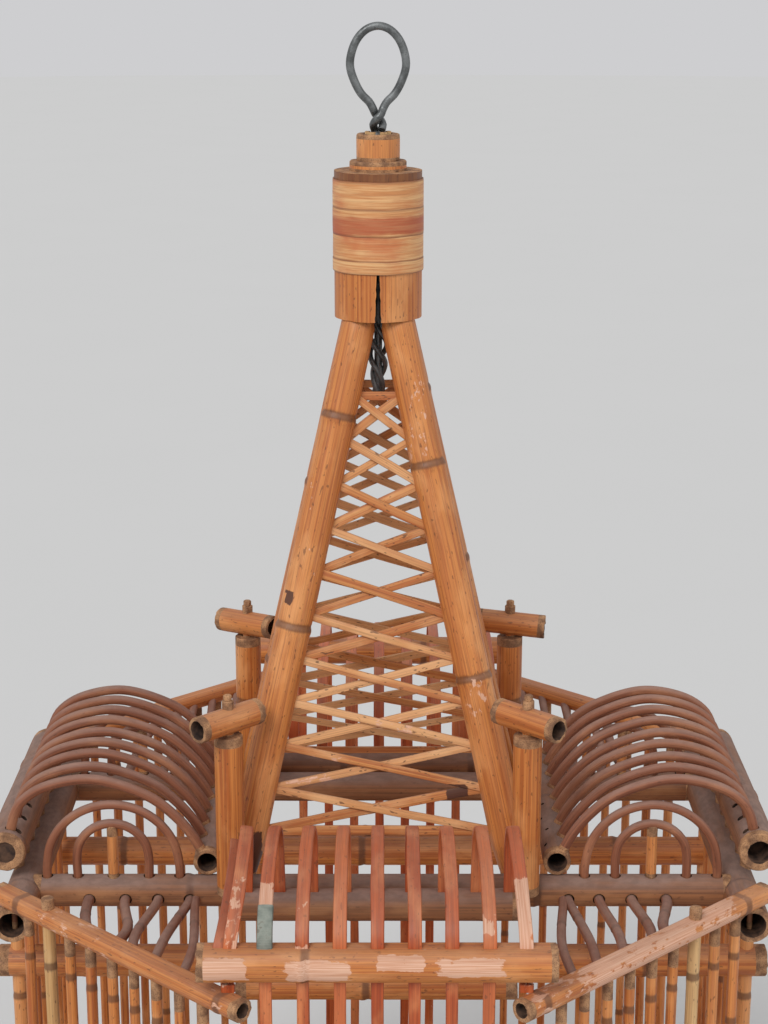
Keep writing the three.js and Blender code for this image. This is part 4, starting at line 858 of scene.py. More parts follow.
slatMarks = {
    ("front", 0): patches(((-75 * mm, -225 * mm, 412 * mm), (9 * mm, 30 * mm, 30 * mm), 0.62, 0)),
    ("front", 1): patches(((-57 * mm, -224 * mm, 424 * mm), (9 * mm, 24 * mm, 9 * mm), 0.85, 0)),
    ("front", 2): patches(((-39 * mm, -229 * mm, 401 * mm), (4 * mm, 8 * mm, 6 * mm), 0.7, 0),
                          ((-39 * mm, -222 * mm, 421 * mm), (3 * mm, 8 * mm, 4 * mm), 0.6, 0)),
    ("front", 7): patches(((51 * mm, -226 * mm, 413 * mm), (4 * mm, 8 * mm, 4 * mm), 0.85, 0)),
    ("front", 8): patches(((69 * mm, -224 * mm, 412 * mm), (9 * mm, 30 * mm, 30 * mm), 0.8, 0)),
}
hoodMarks = {
    "front": patches(((-76 * mm, -238 * mm, 397 * mm), (12 * mm, 8 * mm, 6 * mm), 0.98, 0),
                     ((-31 * mm, -238 * mm, 396 * mm), (16 * mm, 8 * mm, 6 * mm), 0.98, 0),
                     ((9 * mm, -238 * mm, 400 * mm), (12 * mm, 8 * mm, 4 * mm), 0.9, 0),
                     ((43 * mm, -238 * mm, 398 * mm), (18 * mm, 8 * mm, 5 * mm), 0.86, 0)),
    "rear": patches(((-44 * mm, 238 * mm, 397 * mm), (18 * mm, 8 * mm, 5 * mm), 0.85, 0),
                    ((38 * mm, 238 * mm, 398 * mm), (22 * mm, 8 * mm, 5 * mm), 0.8, 0)),
}


def isDoorSlat(index):
    return abs(index - (hood["count"] - 1) / 2) < lintel["doorHalf"]


def addHoods():
    for end, sy in ends:
        start = Vector((towerX - hood["half"], sy * hood["reach"], hood["z"]))
        stop = Vector((towerX + hood["half"], sy * hood["reach"], hood["z"]))
        shape = Shape()
        seed = 80 + sy
        knots = [0.05] if sy < 0 else [0.115]
        addCane(shape, [start, stop], hood["radius"], sides=40, step=3 * mm, knots=knots, seed=seed, tone=0.6, flat=0.8,
                ragged=1.2 * mm, marksAt=hoodMarks[end])
        piece = meshObject(f"hood_bar_{end}_cane", shape, canePaints["honey"])
        keep(piece, "cage", "honey_cane")
        slats = Shape()
        for index in (0, hood["count"] - 1):
            foot = slant["z"] + slant["radius"] * 0.75
            addStrip(slats, slatPath(index, sy, foot), hood["slat"], hood["thick"], (0, sy, 0), seed=90 + index, tone=0.5,
                     marksAt=slatMarks.get((end, index)))
        if sy < 0:  # a second, lower slat stands beside the first
            addStrip(slats, slatPath(0, sy, hood["z"] - 4 * mm, 0.84, -5.5 * mm), hood["slat"], hood["thick"], (0, sy, 0),
                     seed=99, tone=0.2)
        keep(meshObject(f"hood_end_slats_{end}", slats, canePaints["slatCane"]), "cage", "slat_cane", f"hood_bar_{end}")


def addRestBars():
    for end, sy in ends:
        start, stop = railLine(f"hood_rest_bar_{end}")
        shape = Shape()
        addCane(shape, [start, stop], bar["radius"], sides=32, step=5 * mm, knots=[0.06, 0.14], seed=100 + sy, tone=0.5)
        piece = meshObject(f"hood_rest_bar_{end}_cane", shape, canePaints["dustyCane"])
        keep(piece, "cage", "dusty_cane", f"hood_rest_bar_{end}")


def addEndWalls():
    for end, sy in ends:
        shape = Shape()
        for index in range(1, hood["count"] - 1):
            short = sy < 0 and isDoorSlat(index)
            foot = lintel["z"] if short else sillZ
            addStrip(shape, slatPath(index, sy, foot), slatWidth(foot), hood["thick"], (0, sy, 0), seed=110 + index * 2 + sy,
                     tone=0.35 + 0.12 * (index % 4), marksAt=slatMarks.get((end, index)), step=3.5 * mm)
        rails = Shape()
        addCane(rails, [Vector((towerX - hood["half"], sy * hood["reach"], sillZ)),
                        Vector((towerX + hood["half"], sy * hood["reach"], sillZ))], wall["sill"], sides=28, step=6 * mm,
                knots=[0.06, 0.13], seed=120 + sy, tone=0.55, ragged=0.8 * mm)
        reach = ((hood["count"] - 1) / 2 - 1) * hood["pitch"] + hood["slat"]
        addCane(rails, [Vector((towerX - reach, sy * hood["reach"], lintel["z"])),
                        Vector((towerX + reach, sy * hood["reach"], lintel["z"]))], lintel["radius"], sides=24,
                step=6 * mm, knots=[0.03, 0.1], seed=124 + sy, tone=0.5)
        piece = meshObject(f"{end}_wall_slats", shape, canePaints["slatCane"])
        keep(piece, "cage", "slat_cane", f"{end}_wall")
        keep(meshObject(f"{end}_wall_rails", rails, canePaints["honey"]), "cage", "honey_cane")


def addTape():  # grey tape wound round the second slat
    path = [p for p in slatPath(1, -1, sillZ) if 392 * mm + 10 * mm < p.z < 422 * mm and p.y < -0.215]
    shape = Shape()
    addStrip(shape, path, hood["slat"] + 1.0 * mm, hood["thick"] + 0.9 * mm, (0, -1, 0), seed=130, crown=0.3 * mm,
             step=2 * mm, wander=0.5 * mm, edgeScuff=0)
    shape.paint = [0] * len(shape.paint)
    keep(meshObject("slat_tape", shape, ["tape"]), "cage", "slat_cane")


addHoods()
addRestBars()
addEndWalls()
addTape()
print("hoods and end walls made")


# Tie bars and side walls

tie = {"radius": 8.9 * mm}


def addTieBars():
    for end, sy in ends:
        for node, knots, tone in ((f"tie_bar_{end}", [0.05, 0.2, 0.36], 0.5), (f"short_tie_bar_{end}", [0.07], 0.45)):
            start, stop = railLine(node)
            shape = Shape()
            addCane(shape, [start, stop], tie["radius"], sides=28, step=6 * mm, knots=knots, seed=140 + sy + len(node),
                    tone=tone, ragged=0.8 * mm)
            keep(meshObject(f"{node}_cane", shape, canePaints["honey"]), "cage", "honey_cane", node)


def slantRodPlace(sx, sy, index):
    share = wall["slantFirst"] + (wall["slantLast"] - wall["slantFirst"]) * index / (wall["slantRods"] - 1)
    return slantPoint(share, sx, sy)


paleRods = {("front_left", 1), ("front_right", 2)}


def addSideWalls():
    for hand, sx in hands:
        rails, rods, pale = Shape(), Shape(), Shape()
        half = railLine(f"side_tube_{hand}")[1].y
        addCane(rails, [Vector((sx * wall["reach"], -half, sillZ)), Vector((sx * wall["reach"], half, sillZ))],
                wall["sill"], sides=28, step=6 * mm, knots=[0.05, 0.17], seed=150 + sx, tone=0.5, ragged=0.8 * mm)
        dice = random.Random(160 + sx)
        pitch = 2 * (tieY - wall["endInset"]) / (wall["rods"] - 1)
        for i in range(wall["rods"]):
            y = (i - (wall["rods"] - 1) / 2) * pitch
            top = eaveZ - eave["radius"] + 5 * mm
            addCane(rods, [Vector((sx * wall["reach"], y, sillZ)), Vector((sx * wall["reach"], y, top))], wall["rod"],
                    up=(0, 1, 0), sides=12, step=14 * mm, knots=[dice.uniform(0.03, 0.3)], seed=170 + i + 10 * sx,
                    tone=dice.uniform(0.25, 0.75), bow=0.5 * mm)
        for end, sy in ends:
            at = Vector((sx * wall["reach"], sy * tieY, sillZ))
            addCane(rods, [at, Vector((at.x, at.y, crown - 6 * mm))], wall["post"], up=(0, 1, 0), sides=16, step=14 * mm,
                    knots=[0.11, 0.26], seed=200 + sx + sy, tone=0.95)
            start = slantPoint(0, sx, sy)
            stop = slantPoint(1, sx, sy)
            share = (hood["reach"] - abs(start.y)) / abs(stop.y - start.y)
            stop = start.lerp(stop, share)
            start.x = sx * wall["reach"]
            start.z = stop.z = sillZ
            addCane(rails, [start, stop], wall["sill"] * 0.98, sides=28, step=6 * mm, knots=[0.08], seed=210 + sx + sy, tone=0.5)
            for i in range(wall["slantRods"]):
                place = slantRodPlace(sx, sy, i)
                low = Vector((place.x, place.y, sillZ))
                isPale = (f"{end}_{hand}", i) in paleRods
                top = slant["z"] + (slant["radius"] + 4.5 * mm if isPale else -2 * mm)
                low.z = sillZ
                addCane(pale if isPale else rods, [low, Vector((place.x, place.y, top))],
                        wall["rod"] * (1.15 if isPale else dice.uniform(0.9, 1.02)), up=(0, 1, 0), sides=12,
                        step=14 * mm, knots=[dice.uniform(0.04, 0.3), 0.31], seed=220 + i + 10 * sx + 30 * sy,
                        tone=dice.uniform(0.3, 0.75), bow=0.5 * mm)
        keep(meshObject(f"side_wall_{hand}_rods", rods, canePaints["honey"]), "cage", "honey_cane", f"side_wall_{hand}")
        keep(meshObject(f"side_wall_{hand}_sills", rails, canePaints["honey"]), "cage", "honey_cane")
        if pale.points:
            keep(meshObject(f"side_wall_{hand}_pale_rod", pale, canePaints["paleCane"]), "cage", "honey_cane")


addTieBars()
addSideWalls()
print("tie bars and side walls made")


# The tower: four legs and the lacing between them

tower = {"footX": 76.6 * mm, "footY": 65.5 * mm, "topOff": 10 * mm, "footZ": crown + 8.9 * mm, "low": -4 * mm,
         "footRadius": 10.2 * mm, "topRadius": 9.3 * mm, "inCap": 8 * mm, "neck": 7.3 * mm}
towerHeight = capRim - tower["footZ"]
lace = {"levels": 11, "first": 21.2 * mm, "pitch": 23.9 * mm, "width": 5 * mm, "thick": 1.5 * mm, "tuck": 3.5 * mm,
        "layer": 0.95 * mm}


def legPoint(sx, sy, height):
    share = height / towerHeight
    return Vector((towerX + sx * (tower["footX"] + (tower["topOff"] - tower["footX"]) * share),
                   sy * (tower["footY"] + (tower["topOff"] - tower["footY"]) * share), tower["footZ"] + height))


def legRadius(height):
    return tower["footRadius"] + (tower["topRadius"] - tower["footRadius"]) * height / towerHeight


legKnots = {"front_left": (0.143, 0.262), "front_right": (0.114, 0.235), "rear_left": (0.09, 0.21), "rear_right": (0.16, 0.27)}
legMarks = {
    "front_left": patches((legPoint(-1, -1, 0.152) + Vector((-0.006, -0.009, 0)), (2.4 * mm, 9 * mm, 4 * mm), 0, 0.85),
                          # painted shadow: this dark patch on the inner side of the foot stands for the shade in the
                          # foot's notch
                          (legPoint(-1, -1, 0.012) + Vector((0.006, -0.008, 0)), (3.5 * mm, 9 * mm, 13 * mm), 0, 0.8),
                          (legPoint(-1, -1, 0.2) + Vector((-0.004, -0.009, 0)), (3 * mm, 9 * mm, 60 * mm), 0.42, 0)),
    "front_right": patches((legPoint(1, -1, 0.25) + Vector((0, -0.009, 0)), (6 * mm, 9 * mm, 30 * mm), 0.5, 0),
                           (legPoint(1, -1, 0.10) + Vector((0, -0.009, 0)), (7 * mm, 9 * mm, 14 * mm), 0.5, 0)),
}


def addLegs():
    for name, sx, sy in corners:
        low, high = legPoint(sx, sy, tower["low"]), legPoint(sx, sy, towerHeight + tower["inCap"])
        length = (high - low).length
        squeeze = (towerHeight - tower["low"]) * length / (high.z - low.z)

        def radius(distance):
            height = distance / length * (high.z - low.z) + tower["low"]
            r = legRadius(height)
            share = max(0.0, min(1.0, (distance - squeeze + 3 * mm) / (4 * mm)))
            foot = max(0.0, min(1.0, 1 - height / (16 * mm)))
            return (r + (tower["neck"] - r) * share) * (1 - 0.16 * foot)
        shape = Shape()
        addCane(shape, [low, high], radius, up=(0, sy, 0), sides=32, step=4 * mm, knots=legKnots[name],
                seed=300 + sx + 3 * sy, tone=0.62, marksAt=legMarks.get(name))
        keep(meshObject(f"leg_{name}_cane", shape, canePaints["honey"]), "cage", "honey_cane", f"leg_{name}")


towerFaces = {"front": ((-1, -1), (1, -1)), "right": ((1, -1), (1, 1)), "rear": ((1, 1), (-1, 1)), "left": ((-1, 1), (-1, -1))}
laceMarks = patches(((-60 * mm, -66 * mm, 402 * mm), (16 * mm, 9 * mm, 5 * mm), 0, 0.75),
                    ((42 * mm, -60 * mm, 412 * mm), (7 * mm, 9 * mm, 5 * mm), 0, 0.8),
                    ((48 * mm, -50 * mm, 472 * mm), (9 * mm, 9 * mm, 8 * mm), 0, 0.7),
                    ((10 * mm, -45 * mm, 450 * mm), (26 * mm, 12 * mm, 12 * mm), 0.5, 0),
                    ((-40 * mm, -60 * mm, 425 * mm), (20 * mm, 12 * mm, 10 * mm), 0.55, 0))


def addLacing():
    for face, (first, second) in towerFaces.items():
        def centre(height):
            return legPoint(*first, height).lerp(legPoint(*second, height), 0.5)
        across = (legPoint(*second, 0) - legPoint(*first, 0)).normalized()
        up = (centre(towerHeight) - centre(0)).normalized()
        out = across.cross(up)

        def tie(side, level):
            height = lace["first"] + level * lace["pitch"]
            between = (legPoint(*first, height) - centre(height)).length - legRadius(height)
            return centre(height) + across * side * (between + lace["tuck"])
        shape = Shape()
        dice = random.Random(400 + len(face) * 7 + ord(face[0]))

        def strip(a, b, layer, number):
            sagged = dice.uniform(-0.5, 0.5) * mm
            points = []
            for i in range(5):
                share = i / 4
                middleness = math.sin(math.pi * share)
                points.append(a.lerp(b, share) + out * (layer * (0.45 + 0.55 * middleness)) + up * sagged * middleness)
            addStrip(shape, smoothPath(points, 6), lace["width"] * dice.uniform(0.84, 1.08), lace["thick"], out,
                     seed=410 + number, tone=dice.uniform(0.3, 0.95), step=4 * mm, marksAt=laceMarks, edgeScuff=0.2)
        number = 0
        for level in (0, lace["levels"] - 1):
            strip(tie(-1, level), tie(1, level), -lace["layer"], number)
            number += 1
        for level in range(lace["levels"] - 1):
            strip(tie(-1, level + 1), tie(1, level), lace["layer"], number)
            strip(tie(1, level + 1), tie(-1, level), -lace["layer"], number + 1)
            number += 2
        keep(meshObject(f"lacing_{face}_strips", shape, canePaints["laceCane"]), "cage", "lacing_cane", f"lacing_{face}")


addLegs()
addLacing()
print("tower made")


# Posts at the tower's corners, with their pegs and crossheads

post = {"x": 81 * mm, "y": 83.8 * mm, "radius": 7.8 * mm, "low": 3 * mm, "top": 96 * mm, "peg": 3.3 * mm, "pegShow": 7.5 * mm,
        "head": 7.2 * mm, "headBore": 5.1 * mm, "headLength": 43 * mm, "lift": 1.1 * mm}
headTurns = {"front_left": (225, 0), "front_right": (315, 0), "rear_left": (322, -4), "rear_right": (352, 4)}


def addPosts():
    for name, sx, sy in corners:
        at = Vector((towerX + sx * post["x"], sy * post["y"], crown))
        seed = 500 + sx + 3 * sy
        headZ = post["top"] + post["lift"] + post["head"]
        shape = Shape()
        up = Vector((0, 0, 1))
        addCane(shape, [at + up * post["low"], at + up * post["top"]], post["radius"], up=(0, sy, 0), sides=28, step=5 * mm,
                seed=seed, tone=0.55, ragged=0.5 * mm, knots=[] if sy < 0 else [0.05])
        pegTop = headZ + post["head"] + post["pegShow"]
        addCane(shape, [at + up * (post["top"] - 4 * mm), at + up * (pegTop - 3.2 * mm)], post["peg"], up=(0, 1, 0), sides=7,
                step=5 * mm, seed=seed + 5, tone=0.55, rough=0.05)
        addCane(shape, [at + up * (pegTop - 4 * mm), at + up * pegTop], post["peg"] * 0.72, up=(0, 1, 0), sides=6,
                step=5 * mm, seed=seed + 6, tone=0.7, rough=0.05)
        keep(meshObject(f"post_{name}_cane", shape, canePaints["honey"]), "cage", "honey_cane", f"post_{name}")
        heading, tip = (math.radians(a) for a in headTurns[name])
        along = Vector((math.cos(heading) * math.cos(tip), math.sin(heading) * math.cos(tip), -math.sin(tip)))
        centre = at + up * headZ
        half = post["headLength"] / 2
        head = Shape()
        hole = (post["headBore"], 19 * mm)
        addCane(head, [centre - along * half, centre + along * half], post["head"], sides=32, step=4 * mm, bores=(hole, hole),
                seed=seed + 9, tone=0.6, ragged=0.7 * mm)
        keep(meshObject(f"crosshead_{name}_cane", head, canePaints["honey"]), "cage", "honey_cane", f"crosshead_{name}")


addPosts()
print("posts made")


# Cap, collars, plug and hanging ring

cap = {"radius": 24 * mm, "bore": 21.4 * mm, "slit": 33 * mm, "slitHalf": 1.7 * mm, "sides": 96}


def addCap():
    # the split tube: a sheet bent round from one edge of its front slit to the other
    shape = Shape()
    height = capTop - capRim
    rows = [i / 40 * height for i in range(41)]
    columns = cap["sides"]
    walls = []
    for r in (cap["radius"], cap["bore"]):
        grid = []
        for z in rows:
            openness = max(0.0, 1 - z / cap["slit"])
            gap = cap["slitHalf"] * (0.35 + 0.65 * openness) * (1 + 0.5 * noise.noise(Vector((z * 300, 0, 3)))) if z < cap["slit"] else 0
            half = gap / cap["radius"]
            line = []
            for k in range(columns + 1):
                angle = -math.pi / 2 + half + (2 * math.pi - 2 * half) * k / columns
                bulge = r * (1 + 0.006 * noise.noise(Vector((math.cos(angle) * 2, math.sin(angle) * 2, z * 20))))
                spot = Vector((towerX + bulge * math.cos(angle), bulge * math.sin(angle), capRim + z))
                if z == 0:
                    spot.z += 0.5 * mm * noise.noise(Vector((math.cos(angle) * 4, math.sin(angle) * 4, 7)))
                    spot.z = max(spot.z, capRim)
                grain = (z, bulge * math.cos(angle), bulge * math.sin(angle))
                dark = 1.0 if z > 0.93 * height else 0.0
                line.append(shape.point(spot, grain, (0.5, 0.25 if z < 6 * mm else 0, 0, dark)))
            grid.append(line)
        walls.append(grid)
    # the inner wall and the ceiling take the bore finish, painted near black as shade
    outer, inner = walls
    for i in range(len(rows) - 1):
        for k in range(columns):
            shape.face((outer[i][k], outer[i][k + 1], outer[i + 1][k + 1], outer[i + 1][k]), 0)
            shape.face((inner[i][k + 1], inner[i][k], inner[i + 1][k], inner[i + 1][k + 1]), 2)
        shape.face((inner[i][0], outer[i][0], outer[i + 1][0], inner[i + 1][0]), 1)
        shape.face((outer[i][columns], inner[i][columns], inner[i + 1][columns], outer[i + 1][columns]), 1)
    for k in range(columns):
        shape.face((outer[0][k + 1], outer[0][k], inner[0][k], inner[0][k + 1]), 1)
    last = len(rows) - 1
    lid = shape.point(Vector((towerX, 0, capTop)), (0, 0, 0))
    ceiling = shape.point(Vector((towerX, 0, capTop - 6 * mm)), (0, 0, 0))
    for k in range(columns):
        shape.face((outer[last][k], outer[last][k + 1], lid), 1)
        shape.face((inner[last][k + 1], inner[last][k], ceiling), 2)
    piece = meshObject("cap_split_tube", shape, canePaints["honey"])
    keep(piece, "cage", "honey_cane", "cap_tube")


wrap = {"low": 26 * mm, "turns": ((26, 33, 0.9), (32.5, 47, 0.7), (46, 61, 0.85), (60, 75.6, 0.75)), "under": 24.15 * mm}


def addWrap():  # the veneer is wound on in overlapping turns
    shape = Shape()
    sides = 96
    for number, (low, high, proud) in enumerate(wrap["turns"]):
        rows = [low + (high - low) * i / 10 for i in range(11)]
        grid = []
        for row, z in enumerate(rows):
            line = []
            for k in range(sides):
                angle = 2 * math.pi * k / sides
                turn = Vector((math.cos(angle) * 2.2, math.sin(angle) * 2.2, number * 5))
                edge = 0.5 * noise.noise(turn) if row in (0, 10) and 0 < number or row == 10 and number < 3 else 0.15 * noise.noise(turn)
                r = wrap["under"] + proud * mm * (0.88 + 0.12 * noise.noise(turn + Vector((0, 0, z * 0.12))))
                r -= 0.12 * mm if row in (0, 10) else 0
                spot = Vector((towerX + r * math.cos(angle), r * math.sin(angle), capRim + (z + edge) * mm))
                dark = 1.0 if row in (0, 10) and number != 3 or row == 0 else 0.0
                if number == 3 and row == 10:
                    dark = 0.9
                grain = (z * mm + number * 0.2, r * math.cos(angle), r * math.sin(angle))
                line.append(shape.point(spot, grain, (0.5, 0, 0, dark)))
            grid.append(line)
        for row in range(10):
            for k in range(sides):
                j = (k + 1) % sides
                shape.face((grid[row][k], grid[row][j], grid[row + 1][j], grid[row + 1][k]), 0)
        inner = []
        for edgeRow, z in ((0, low), (10, high)):
            inner.append([shape.point(Vector((towerX + cap["radius"] * math.cos(2 * math.pi * k / sides),
                                              cap["radius"] * math.sin(2 * math.pi * k / sides), capRim + z * mm)), (z * mm, 0, 0), (0.5, 0, 0, 1))
                          for k in range(sides)])
        for k in range(sides):
            j = (k + 1) % sides
            shape.face((grid[0][j], grid[0][k], inner[0][k], inner[0][j]), 0)
            shape.face((grid[10][k], grid[10][j], inner[1][j], inner[1][k]), 0)
            shape.face((inner[0][j], inner[0][k], inner[1][k], inner[1][j]), 0)
    keep(meshObject("cap_veneer_winding", shape, ["veneer"]), "cage", "veneer", "cap_wrap")


def addCollars():
    low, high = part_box("collar_middle")
    shape = Shape()
    addCane(shape, [Vector((towerX, 0, low.z)), Vector((towerX, 0, high.z))], 15.5 * mm, up=(0, 1, 0), sides=56,
            step=2 * mm, seed=600, tone=0.7, edge=0.6 * mm)
    keep(meshObject("collar_middle_cane", shape, canePaints["honey"]), "cage", "honey_cane", "collar_middle")
    low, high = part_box("collar_top")
    shape = Shape()
    addCane(shape, [Vector((towerX, 0, low.z)), Vector((towerX, 0, high.z))], 11.7 * mm, up=(0, 1, 0), sides=48,
            step=2 * mm, seed=603, tone=0.75, edge=0.5 * mm, ragged=0.3 * mm, bores=(None, (7.6 * mm, 9 * mm)))
    keep(meshObject("collar_top_cane", shape, canePaints["honey"]), "cage", "honey_cane", "collar_top")


def addPlug():  # the wedges driven in round the wire
    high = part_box("collar_top")[1].z
    shape = Shape()
    for number, (angle, wide, proud) in enumerate(((20, 3.4, 2.6), (95, 3.0, 1.2), (165, 3.2, 2.0), (235, 3.6, 1.6), (300, 3.2, 2.4))):
        turn = math.radians(angle)
        out = Vector((math.cos(turn), math.sin(turn), 0))
        at = Vector((towerX, 0, high)) + out * 5.9 * mm
        addStrip(shape, [at - Vector((0, 0, 10 * mm)), at + Vector((0, 0, 1.2 * mm))], wide * mm, 2.4 * mm, out, seed=610 + number,
                 tone=0.8, step=3 * mm, crown=0)
    keep(meshObject("ring_plug_wedges", shape, canePaints["paleCane"]), "cage", "floor_board", "ring_plug")


ring = {"wire": 2.2 * mm, "halfWidth": 15 * mm, "narrowing": 0.22, "twist": 2.6 * mm, "twistHeight": 11 * mm,
        "twistTurn": 1.25 * math.pi, "gap": 2 * mm, "run": 9 * mm, "tail": 43 * mm}


def addRing():
    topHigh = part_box("collar_top")[1].z
    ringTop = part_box("hanging_ring")[1].z - ring["wire"]
    twistLow = topHigh + ring["gap"]
    twistHigh = twistLow + ring["twistHeight"]

    def strand(share, start):
        angle = start + share * ring["twistTurn"]
        return Vector((towerX + ring["twist"] * math.cos(angle), ring["twist"] * math.sin(angle),
                       twistLow + share * ring["twistHeight"]))
    points = [Vector((towerX, 0, capRim - ring["tail"])), Vector((towerX, 0, capRim)), Vector((towerX, 0, capTop)),
              Vector((towerX, 0, twistLow - ring["run"]))]
    points += [strand(i / 4, -ring["twistTurn"]) for i in range(5)]
    centre = (ringTop + twistHigh) / 2 + 1 * mm
    half = ringTop - centre
    for i in range(1, 16):
        angle = -math.pi / 2 + i / 16 * 2 * math.pi
        narrow = 1 - ring["narrowing"] * max(0.0, -math.sin(angle))
        points.append(Vector((towerX + ring["halfWidth"] * math.cos(angle) * narrow, 0, centre + half * math.sin(angle))))
    points += [strand(i / 4, math.pi - ring["twistTurn"]) for i in range(4, -1, -1)]
    shape = Shape()
    addCane(shape, smoothPath(points, 10), ring["wire"], up=(0, 1, 0), sides=20, step=1.6 * mm, seed=620, rough=0.02, ragged=0.1 * mm)
    shape.paint = [0] * len(shape.paint)
    keep(meshObject("hanging_ring_wire", shape, ["wire"]), "cage", "grey_wire", "hanging_ring")


def addNeckWire():  # the wire's tail is bent back on itself in the tower's neck
    shape = Shape()
    for number in range(3):
        points = []
        for i in range(13):
            share = i / 12
            angle = number * 2 * math.pi / 3 + share * 2.2 * math.pi
            r = (3.6 + 1.2 * math.sin(share * 5)) * mm
            points.append(Vector((towerX + r * math.cos(angle), r * math.sin(angle), capRim - 4 * mm - share * 40 * mm)))
        addCane(shape, smoothPath(points, 6), 1.5 * mm, up=(0, 1, 0), sides=12, step=2 * mm, seed=630 + number, rough=0.02)
    shape.paint = [0] * len(shape.paint)
    keep(meshObject("neck_wire", shape, ["wire"]), "cage", "grey_wire")


addCap()
addWrap()
addCollars()
addPlug()
addRing()
addNeckWire()
print("cap and ring made")


# Door, runners with feet, tray and perch

door = {"rod": 2.5 * mm, "barHeight": 10 * mm, "barDepth": 8 * mm, "barEnd": 5 * mm, "midRail": 140 * mm, "show": 8 * mm,
        "play": 0.6 * mm}


def addBlock(shape, low, high, seed, tone=0.5, paint=0, bevel=0.8 * mm):
    # a whittled bar with rounded edges, drawn as a strip along X
    middlePoint = (low + high) / 2
    a = Vector((low.x, middlePoint.y, middlePoint.z))
    b = Vector((high.x, middlePoint.y, middlePoint.z))
    first = len(shape.points)
    halfY, halfZ = (high.y - low.y) / 2, (high.z - low.z) / 2
    outline = []
    for cy, cz, start in ((1, 1, 0), (-1, 1, 90), (-1, -1, 180), (1, -1, 270)):
        for turn in (0, 45, 90):
            angle = math.radians(start + turn)
            outline.append((cy * (halfY - bevel) + bevel * math.cos(angle), cz * (halfZ - bevel) + bevel * math.sin(angle)))
    count = max(2, round((b - a).length / (6 * mm)))
    for row in range(count + 1):
        place = a.lerp(b, row / count)
        for y, z in outline:
            wave = 1 + 0.02 * noise.noise(Vector((place.x * 40, y * 300, z * 300 + seed)))
            spot = place + Vector((0, y * wave, z * wave))
            shape.point(spot, (place.x + seed * 0.3, y + seed * 0.1, z), (tone, 0.15, 0, 0))
    ringSize = len(outline)
    for row in range(count):
        for k in range(ringSize):
            j = (k + 1) % ringSize
            p, q = first + row * ringSize, first + (row + 1) * ringSize
            shape.face((p + k, p + j, q + j, q + k), paint)
    shape.face(tuple(first + k for k in reversed(range(ringSize))), paint + 1)
    shape.face(tuple(first + count * ringSize + k for k in range(ringSize)), paint + 1)


def addDoor():
    y = -hood["reach"]
    low = sillZ + wall["sill"] + door["play"]
    half = lintel["doorHalf"] * hood["pitch"] + hood["slat"] / 2 + door["play"] + door["barEnd"]
    bars = Shape()
    for number, z in enumerate((low + door["barHeight"] / 2, door["midRail"])):
        addBlock(bars, Vector((towerX - half, y - door["barDepth"] / 2, z - door["barHeight"] / 2)),
                 Vector((towerX + half, y + door["barDepth"] / 2, z + door["barHeight"] / 2)), 700 + number)
    piece = meshObject("door_bars", bars, canePaints["slatCane"])
    cutters = Shape()
    for step in (-lintel["doorHalf"], lintel["doorHalf"]):
        x = towerX + step * hood["pitch"]
        wide = hood["slat"] / 2 + door["play"]
        deep = hood["thick"] / 2 + door["play"]
        addStrip(cutters, [Vector((x, y, 30 * mm)), Vector((x, y, 160 * mm))], 2 * wide, 2 * deep, (0, -1, 0), crown=0, wander=0,
                 step=1)
    cutters.paint = [0] * len(cutters.paint)
    drill(piece, meshObject("cutter", cutters, ["bore"]))
    regrain(piece, Vector((towerX - half, y, low)), Vector((towerX + half, y, low)), 700, 0.5)
    keep(piece, "door", "honey_cane")
    rods = Shape()
    for i, step in enumerate((-1.5, -0.5, 0.5, 1.5)):
        x = towerX + step * hood["pitch"]
        addCane(rods, [Vector((x, y, low + door["barHeight"] / 2)), Vector((x, y, lintel["z"] + lintel["radius"] + door["show"]))],
                door["rod"], up=(0, 1, 0), sides=14, step=10 * mm, knots=[0.06 + 0.02 * i], seed=710 + i, tone=0.4 + 0.1 * i)
    keep(meshObject("door_rods", rods, canePaints["honey"]), "door", "honey_cane", "door")


runner = {"foot": 9 * mm, "bar": 5 * mm, "z": 7 * mm}


def addRunners():
    for end, sy in ends:
        shape = Shape()
        y = sy * tieY
        addCane(shape, [Vector((-wall["reach"], y, runner["z"])), Vector((wall["reach"], y, runner["z"]))], runner["bar"], sides=20,
                step=8 * mm, knots=[0.08, 0.21, 0.33], seed=720 + sy, tone=0.5)
        for _, sx in hands:
            x = sx * wall["reach"]
            addCane(shape, [Vector((x, y, 0)), Vector((x, y, deckZ + 2 * mm))], runner["foot"], up=(0, 1, 0), sides=28, step=4 * mm,
                    knots=[0.012], seed=730 + sx + sy, tone=0.55, ragged=0)
        keep(meshObject(f"runner_{end}_cane", shape, canePaints["honey"]), "cage", "honey_cane", f"runner_{end}")


tray = {"rim": 3 * mm, "floor": 3 * mm, "pull": 4 * mm, "pullLength": 12 * mm, "inset": 11.7 * mm, "endInset": 4 * mm,
        "cornerBack": 10 * mm, "cornerIn": 16 * mm}


